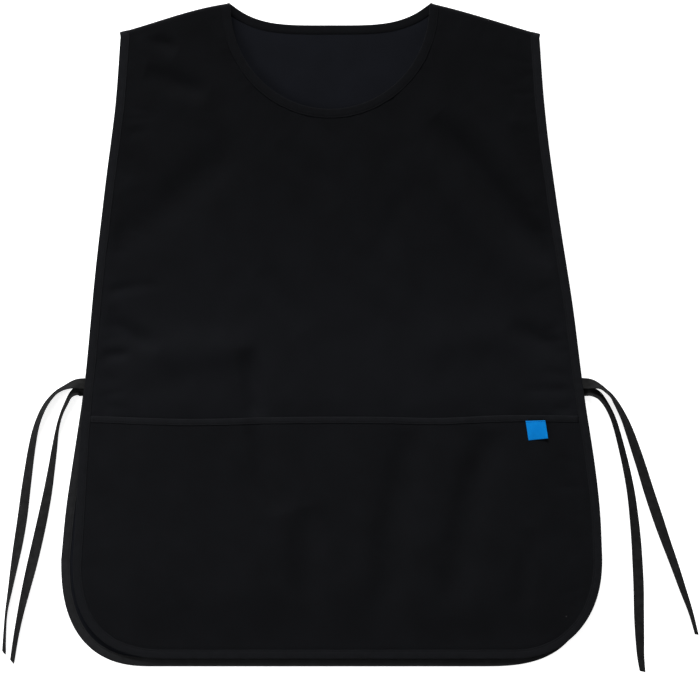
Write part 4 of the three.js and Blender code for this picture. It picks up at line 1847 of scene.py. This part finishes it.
@dataclass
class TieTape:
    """A flat tape tie that leaves a bound side and lies on the floor.

    Attributes:
        name: the piece's name.
        route: its points, from the side to the free end.
        width: width of the tape.
        thickness: thickness of the tape.
        room: height that it takes up where it lies flat.
        clear: how far its lower edge stays off the floor.
        sewn_in: how far it runs on inside the binding.
        cup: how much the tape curls across its width.
        fine: steps from one point of the route to the next.
        end_slant: how far one edge of its cut end is ahead of the other.
    """

    name: str
    route: Sequence[Turn]
    width: float = 12 * MM
    thickness: float = 0.9 * MM
    room: float = 1.0 * MM
    clear: float = 0.4 * MM
    sewn_in: float = 5 * MM
    cup: float = 0.35 * MM
    fine: int = 7
    end_slant: float = 3 * MM

    # Places across it as shares of half of its width, and shares of its thickness there.
    ACROSS = (-0.97, -0.88, -0.76, -0.4, 0.0, 0.4, 0.76, 0.88, 0.97)
    BEAD = (0.75, 1.15, 0.9, 0.85, 0.85, 0.85, 0.9, 1.15, 0.75)

    def place(self, turn: Turn) -> list[float]:
        """Where the tape's middle lies at a point of the route.

        Args:
            turn: the point.

        Returns:
            Its x, y and z, and its tilt.
        """
        tilt = math.radians(turn.tilt)
        half = (self.width * abs(math.sin(tilt)) + self.room * math.cos(tilt)) / 2.0
        return [turn.x * MM, turn.y * MM, self.clear + half + turn.lift * MM, tilt]

    def centre_line(self) -> Array:
        """The tape's middle line, with its tilt.

        Returns:
            Rows of x, y, z and tilt.
        """
        rows = np.array([self.place(turn) for turn in self.route])
        inward = rows[0, :3] - rows[1, :3]
        inward[2] = 0.0
        root = np.concatenate([rows[0, :3] + unit(inward) * self.sewn_in, rows[0, 3:]])
        return through(np.concatenate([root[None], rows]), self.fine)

    def section(self) -> Array:
        """The tape's section, a flat band with thicker woven edges.

        Returns:
            Rows of across and up lengths, counter-clockwise.
        """
        half = self.width / 2.0
        across = np.array(self.ACROSS) * half
        bead = np.array(self.BEAD) * self.thickness / 2.0
        curl = self.cup * (1.0 - (across / half) ** 2)
        lower = np.stack([across, curl - bead], axis=1)
        upper = np.stack([across, curl + bead], axis=1)[::-1]
        return np.concatenate([lower, [(half, 0.0)], upper, [(-half, 0.0)]])

    def build(self, finish: Material) -> Object:
        """Args:
            finish: the tape's material.

        Returns:
            The tie.
        """
        line = self.centre_line()
        mid = line[:, :3]
        tangent = unit(np.gradient(mid, axis=0))
        level = unit(np.cross(UP, tangent))
        tilt = line[:, 3:]
        across = level * np.cos(tilt) + np.cross(tangent, level) * np.sin(tilt)
        normal = np.cross(tangent, across)
        section = np.repeat(self.section()[None], len(mid), axis=0)
        draft = swept(Station(mid, normal, across), section, False)
        self.cut_end(draft, tangent[-1], section.shape[1])
        piece = draft.finish(self.name, finish)
        declare(piece, self.name)
        leaves = self.place(self.route[0])[:3]
        return piece

    def cut_end(self, draft: MeshDraft, ahead: Array, around: int) -> None:
        """Slants the cut at the free end, by moving the points around the last section ahead."""
        share = self.section()[:, 0] / self.width
        draft.points[-around:] += ahead * (share * self.end_slant)[:, None]


# Stitches


class StitchTree(Nodes):
    """A node tree that lays one stitch after another along a line.

    Attributes:
        keys: the modifier's key for each of the tree's inputs.
        source: the node that holds those inputs.
    """

    INPUTS = (
        ("Pitch", "NodeSocketFloat"), ("Length", "NodeSocketFloat"), ("Width", "NodeSocketFloat"),
        ("Height", "NodeSocketFloat"), ("Skew", "NodeSocketFloat"), ("Seed", "NodeSocketInt"),
        ("Thread", "NodeSocketMaterial"),
    )
    SIDES = 6
    RINGS = 4

    def __init__(self) -> None:
        """Builds the tree."""
        super().__init__(bpy.data.node_groups.new("stitch_row", "GeometryNodeTree"))
        sockets = self.tree.interface
        sockets.new_socket("Line", in_out="INPUT", socket_type="NodeSocketGeometry")
        self.keys = {}
        for name, kind in self.INPUTS:
            self.keys[name] = sockets.new_socket(name, in_out="INPUT", socket_type=kind).identifier
        sockets.new_socket("Stitches", in_out="OUTPUT", socket_type="NodeSocketGeometry")
        self.source = self.add("NodeGroupInput", {})
        self.fill()

    def fill(self) -> None:
        """Adds the nodes: spaced points, a stitch on each, turned along the line."""
        turn = self.turn().outputs[0]
        given = self.source.outputs
        curve = self.add("GeometryNodeMeshToCurve", {"Mesh": given["Line"]})
        gaps = {"Curve": curve.outputs[0], "Length": given["Pitch"]}
        spaced = self.add("GeometryNodeResampleCurve", gaps, mode="LENGTH")
        lengths = {"X": given["Length"], "Y": given["Width"], "Z": given["Height"]}
        size = self.add("ShaderNodeCombineXYZ", lengths)
        unit_ball = {"Segments": self.SIDES, "Rings": self.RINGS, "Radius": 0.5}
        ball = self.add("GeometryNodeMeshUVSphere", unit_ball)
        sized = {"Geometry": ball.outputs["Mesh"], "Scale": size.outputs[0]}
        stitch = self.add("GeometryNodeTransform", sized)
        rounded = self.add("GeometryNodeSetShadeSmooth", {"Geometry": stitch.outputs[0]})
        places = {"Points": spaced.outputs[0], "Instance": rounded.outputs[0], "Rotation": turn}
        laid = self.add("GeometryNodeInstanceOnPoints", places)
        real = self.add("GeometryNodeRealizeInstances", {"Geometry": laid.outputs[0]})
        thread = {"Geometry": real.outputs[0], "Material": given["Thread"]}
        dressed = self.add("GeometryNodeSetMaterial", thread)
        self.add("NodeGroupOutput", {0: dressed.outputs[0]})

    def turn(self) -> Node:
        """Adds the nodes that turn a stitch along the line, level with the cloth and a little askew.

        Returns:
            The last of them.
        """
        given = self.source.outputs
        tangent = self.add("GeometryNodeInputTangent", {})
        up = self.add("GeometryNodeInputNamedAttribute", {"Name": "up"}, data_type="FLOAT_VECTOR")
        ahead = self.add("FunctionNodeAlignRotationToVector", {"Vector": tangent.outputs[0]}, axis="X")
        rolled = {"Rotation": ahead.outputs[0], "Vector": up.outputs[0]}
        level = self.add("FunctionNodeAlignRotationToVector", rolled, axis="Z", pivot_axis="X")
        low = self.add("ShaderNodeMath", {0: given["Skew"], 1: -1.0}, operation="MULTIPLY")
        limits = {2: low.outputs[0], 3: given["Skew"], "Seed": given["Seed"]}
        skew = self.add("FunctionNodeRandomValue", limits, data_type="FLOAT")
        askew = {"Axis": tuple(UP), "Angle": skew.outputs[1]}
        swing = self.add("FunctionNodeAxisAngleToRotation", askew)
        turns = {0: level.outputs[0], 1: swing.outputs[0]}
        return self.add("FunctionNodeRotateRotation", turns, rotation_space="LOCAL")


@dataclass
class StitchRow:
    """Rows of stitches of one thread.

    Attributes:
        name: the piece's name.
        thread: its material.
        slot: the record's slot that it goes with; not used.
        pitch: distance from one stitch to the next.
        length: length of a stitch.
        width: width of the thread.
        height: height of the thread.
        skew: largest turn of a stitch off the row.
        seed: start of the random draws.
    """

    name: str
    thread: Material
    slot: Slot
    pitch: float = 3.0 * MM
    length: float = 2.5 * MM
    width: float = 0.55 * MM
    height: float = 0.5 * MM
    skew: float = math.radians(5)
    seed: int = 5

    def build(self, tree: StitchTree, rows: Sequence[Station], closed: bool = False) -> Object:
        """Sews along lines.

        Args:
            tree: the stitches' node tree.
            rows: stations along each line.
            closed: whether the lines are rings.

        Returns:
            The stitches, as one plain mesh.
        """
        points, edges, start = [], [], 0
        for row in rows:
            count = len(row.mid)
            points.append(row.mid)
            numbers = np.arange(count) + start
            ends = np.stack([numbers, np.roll(numbers, -1)], axis=1)
            edges.append(ends if closed else ends[:-1])
            start += count
        line = bpy.data.meshes.new(self.name + "_line")
        line.from_pydata(np.concatenate(points).tolist(), np.concatenate(edges).tolist(), [])
        up = line.attributes.new("up", "FLOAT_VECTOR", "POINT")
        ups = np.concatenate([row.up for row in rows]).astype(np.float32)
        up.data.foreach_set("vector", ups.ravel())
        piece = link(bpy.data.objects.new(self.name, line))
        sewing = piece.modifiers.new("sewing", "NODES")
        sewing.node_group = tree.tree
        values = {
            "Pitch": self.pitch, "Length": self.length, "Width": self.width, "Height": self.height,
            "Skew": self.skew, "Seed": self.seed, "Thread": self.thread,
        }
        for name, value in values.items():
            sewing[tree.keys[name]] = value
        graph = bpy.context.evaluated_depsgraph_get()
        mesh = bpy.data.meshes.new_from_object(piece.evaluated_get(graph))
        piece.modifiers.clear()
        piece.data = mesh
        bpy.data.meshes.remove(line)
        declare(piece)
        return piece


# Label


@dataclass
class Label:
    """A small plain woven label, sewn down along its top edge.

    Attributes:
        width: its width.
        height: its height.
        thickness: thickness of its two layers.
        x: place of its middle to the right.
        y: place of its middle along the apron.
        top: height of its sewn edge.
        low: height of its free edge.
        lean: how far its sides swing to the right.
        top_turn: how far its sewn edge is turned.
        low_turn: how far its free edge is turned.
        bulge: how much its middle stands up.
        curl: how much its free corners curl up.
        soft_edge: width of its softened edges.
        columns: cells across.
        rows: cells down.
    """

    width: float = 21.8 * MM
    height: float = 21 * MM
    thickness: float = 0.7 * MM
    x: float = 227 * MM
    y: float = -105.6 * MM
    top: float = 14.6 * MM
    low: float = 13.2 * MM
    lean: float = math.radians(9)
    top_turn: float = math.radians(1.5)
    low_turn: float = math.radians(5.5)
    bulge: float = 0.5 * MM
    curl: float = 0.5 * MM
    soft_edge: float = 0.25 * MM
    columns: int = 22
    rows: int = 21

    # How much less its sides stand up, and where the corners curl, as shares of its size.
    SIDE_DROP = 0.6
    CURL_DOWN = Span(0.1, 0.5)
    CURL_ACROSS = Span(0.25, 0.5)
    # The row of stitches: its points, its place as shares of the label's size, and its lift.
    SEAM_POINTS = 24
    SEAM_ACROSS = 0.46
    SEAM_DOWN = 0.45
    SEAM_LIFT = 0.05 * MM

    def surface(self, across: Array, down: Array) -> Array:
        """Points of the label's middle.

        Args:
            across: shares of its width, from -0.5 to 0.5.
            down: shares of its height, from 0.5 at the sewn edge to -0.5.

        Returns:
            Rows of x, y and z.
        """
        x, y = across * self.width, down * self.height
        arch = self.bulge * np.cos(down * math.pi) * (1.0 - self.SIDE_DROP * (2.0 * across) ** 2)
        curl = self.curl * self.CURL_DOWN.share(-down) * self.CURL_ACROSS.share(np.abs(across))
        z = self.low + (self.top - self.low) * (down + 0.5) + arch + curl
        turn = self.low_turn + (self.top_turn - self.low_turn) * (down + 0.5)
        turned_x = x * np.cos(turn) - y * math.sin(self.lean)
        turned_y = x * np.sin(turn) + y * math.cos(self.lean)
        return np.stack([self.x + turned_x, self.y + turned_y, z], axis=-1)

    def build(self, finish: TapeFinish) -> Object:
        """Args:
            finish: the label's cloth.

        Returns:
            The label.
        """
        across, down = np.meshgrid(
            np.linspace(-0.5, 0.5, self.columns + 1), np.linspace(-0.5, 0.5, self.rows + 1),
        )
        points = self.surface(across.ravel(), down.ravel())
        quads = net_cells(np.arange(len(points)).reshape(across.shape))
        flat = np.stack([across.ravel() * self.width, down.ravel() * self.height], axis=1)
        draft = MeshDraft(points, quads.tolist(), flat[quads.ravel()])
        piece = draft.finish("label", finish.material())
        thicken(piece, "label_wall", self.thickness)
        soft = piece.modifiers.new("soft_edges", "BEVEL")
        soft.width = self.soft_edge
        soft.segments = 2
        declare(piece, "label")
        return piece

    def seam(self) -> Station:
        """The row of stitches along its top edge.

        Returns:
            Stations along the row.
        """
        across = np.linspace(-self.SEAM_ACROSS, self.SEAM_ACROSS, self.SEAM_POINTS)
        mid = self.surface(across, np.full(self.SEAM_POINTS, self.SEAM_DOWN))
        mid[:, 2] += self.thickness / 2.0 + self.SEAM_LIFT
        return level_stations(mid)


# Studio


@dataclass
class Lamp:
    """A soft box aimed at the apron.

    Attributes:
        name: its name.
        place: where it stands.
        size: its width and height.
        power: its power in watts.
    """

    name: str
    place: tuple[float, float, float]
    size: tuple[float, float]
    power: float

    def build(self) -> None:
        """Puts the lamp in the scene."""
        data = bpy.data.lights.new(self.name, "AREA")
        data.shape = "RECTANGLE"
        data.size, data.size_y = self.size
        data.energy = self.power
        lamp = link(bpy.data.objects.new(self.name, data))
        lamp.location = self.place
        lamp.rotation_mode = "QUATERNION"
        lamp.rotation_quaternion = (-Vector(self.place)).to_track_quat("-Z", "Y")


@dataclass
class Studio:
    """The camera straight above, the pale floor and the light.

    Attributes:
        distance: height of the camera above the cloth.
        view_width: width of what the camera sees.
        centre: point below the camera.
        floor_half: half of the floor's side.
        floor_drop: how far the floor lies below the model's own zero.
        floor_tones: the darker and the lighter grey of the floor.
        floor_cloud: size of the patches of those greys.
        floor_roughness: how matte the floor is.
        floor_gloss: how much plain gloss it has.
        floor_glow: light that comes through the floor, which hides most shadows.
        sky: strength of the light from all round.
        lamps: the soft boxes.
    """

    distance: float = 3.0
    view_width: float = 777 * MM
    centre: tuple[float, float] = (20.5 * MM, -2.8 * MM)
    floor_half: float = 8.0
    floor_drop: float = 0.2 * MM
    floor_tones: tuple[float, float] = (0.88, 0.9)
    floor_cloud: float = 0.6
    floor_roughness: float = 0.9
    floor_gloss: float = 0.1
    floor_glow: float = 0.8
    sky: float = 0.12
    lamps: tuple[Lamp, ...] = (
        Lamp("key_box", (-1.0, 9.5, 5.0), (6.5, 2.9), 1660.0),
        Lamp("left_box", (-1.2, -0.05, 1.0), (0.9, 0.9), 10.5),
        Lamp("low_box", (0.3, -3.2, 1.2), (2.4, 0.8), 30.0),
    )

    DARK_AT = 0.3
    LIGHT_AT = 0.7

    def build(self) -> None:
        """Sets up the camera, the floor and the light."""
        self.add_camera()
        self.add_floor()
        for lamp in self.lamps:
            lamp.build()
        world = bpy.data.worlds.new("studio")
        world.use_nodes = True
        background = world.node_tree.nodes["Background"].inputs
        background["Color"].default_value = WHITE
        background["Strength"].default_value = self.sky
        bpy.context.scene.world = world
        bpy.context.scene.view_settings.view_transform = "Standard"

    def add_camera(self) -> None:
        """Looks straight down, with the neck at the top of the picture."""
        data = bpy.data.cameras.new("camera")
        data.lens = data.sensor_width * self.distance / self.view_width
        camera = link(bpy.data.objects.new("camera", data))
        camera.location = (*self.centre, self.distance)
        bpy.context.scene.camera = camera

    def add_floor(self) -> None:
        """Lays the pale floor just below the cloth."""
        half, low = self.floor_half, -self.floor_drop
        square = ((-half, -half), (half, -half), (half, half), (-half, half))
        corners = np.array([(x, y, low) for x, y in square])
        graph = Graph("pale_floor")
        place = graph.add("TexCoord", {})
        cloudy = graph.noise(place.outputs["Object"], self.floor_cloud, detail=2.0)
        dark, light = self.floor_tones
        graph.shade({
            "Base Color": graph.ramp(cloudy, [(self.DARK_AT, grey(dark)), (self.LIGHT_AT, grey(light))]),
            "Roughness": self.floor_roughness,
            "Specular IOR Level": self.floor_gloss,
            "Emission Color": WHITE,
            "Emission Strength": self.floor_glow,
        })
        floor = MeshDraft(corners, [[0, 1, 2, 3]], corners[:, :2]).finish("floor", graph.material)


POCKET_LAYER = 1.3 * MM
POCKET_END = Span(MOUTH_Y - 3 * MM, MOUTH_Y + 9 * MM)


def pocket_cover(points: Array) -> Array:
    """Thickness and clearance of the pocket where it is sewn in under the front panel's binding."""
    return POCKET_LAYER * (1.0 - POCKET_END.share(points[:, 1]))


def report(piece: Object) -> None:
    """Says what was made."""
    LOG.info("%s: %d faces", piece.name, len(piece.data.polygons))


def main() -> None:
    """Builds the studio and the ties, then the cloth, its bindings, the label and the stitches."""
    logging.basicConfig(level=logging.INFO, format="%(name)s %(message)s")
    Studio().build()
    tape = TIE_TAPE.material()
    for name, route in TIE_ROUTES.items():
        report(TieTape(name, route).build(tape))

    back = BackPanel(
        "back_panel", BACK_CUT, BACK_CLOTH, Slot.BACK, flat=(0.585, 0.734), area=0.379,
        columns=54, side_rows=120, neck_rows=36, roll=Roll.FROM_BELOW,
    )
    front = FrontPanel(
        "front_panel", FRONT_CUT, FRONT_CLOTH, Slot.FRONT, flat=(0.585, 0.725), area=0.357,
        rests_on=("back_panel",),
    )
    pocket = Pocket(
        "pocket", FRONT_CUT, POCKET_CLOTH, Slot.POCKET, flat=(0.585, 0.266), area=0.15,
        rests_on=("front_panel",), columns=84, corner_rows=50, side_rows=52, neck_rows=0, roll_rows=0,
    )
    for sheet in (back, front, pocket):
        report(sheet.build())

    back_edge = Binding("back_edge_binding", seed=41)
    back_edge.lay(back.outer_edge())
    front_edge = Binding("front_edge_binding", seed=42)
    front_edge.lay(front.outer_edge(), pocket_cover)
    neck = Binding("neck_binding", closed=True, step=2 * MM, seed=43)
    neck.lay(neck_ring(front, back))
    mouth = Binding("pocket_binding", slot=Slot.MOUTH, section=MouthSection(), seed=44)
    mouth.lay(pocket.mouth())
    # The back panel's edge takes a lighter copy of the tape (painted light) and the neck ring a darker
    # one (painted shade).
    tapes = {back_edge.name: LIT_BACK_EDGE_TAPE, neck.name: SHADED_NECK_TAPE}
    for binding in (back_edge, front_edge, neck, mouth):
        report(binding.build(tapes.get(binding.name, BINDING_TAPE)))

    label = Label()
    report(label.build(LABEL_CLOTH))

    tree = StitchTree()
    black, blue = BLACK_THREAD.material(), BLUE_THREAD.material()
    edge_row = StitchRow("edge_stitches", black, Slot.BINDING)
    neck_row = StitchRow("neck_stitches", black, Slot.BINDING)
    mouth_row = StitchRow("mouth_stitches", black, Slot.MOUTH)
    label_row = StitchRow("label_stitches", blue, Slot.LABEL, pitch=1.8 * MM, length=1.5 * MM)
    report(edge_row.build(tree, [front_edge.seam(), back_edge.seam()]))
    report(neck_row.build(tree, [neck.seam()], closed=True))
    report(mouth_row.build(tree, [mouth.seam()]))
    report(label_row.build(tree, [label.seam()]))


if __name__ == "__main__":
    main()
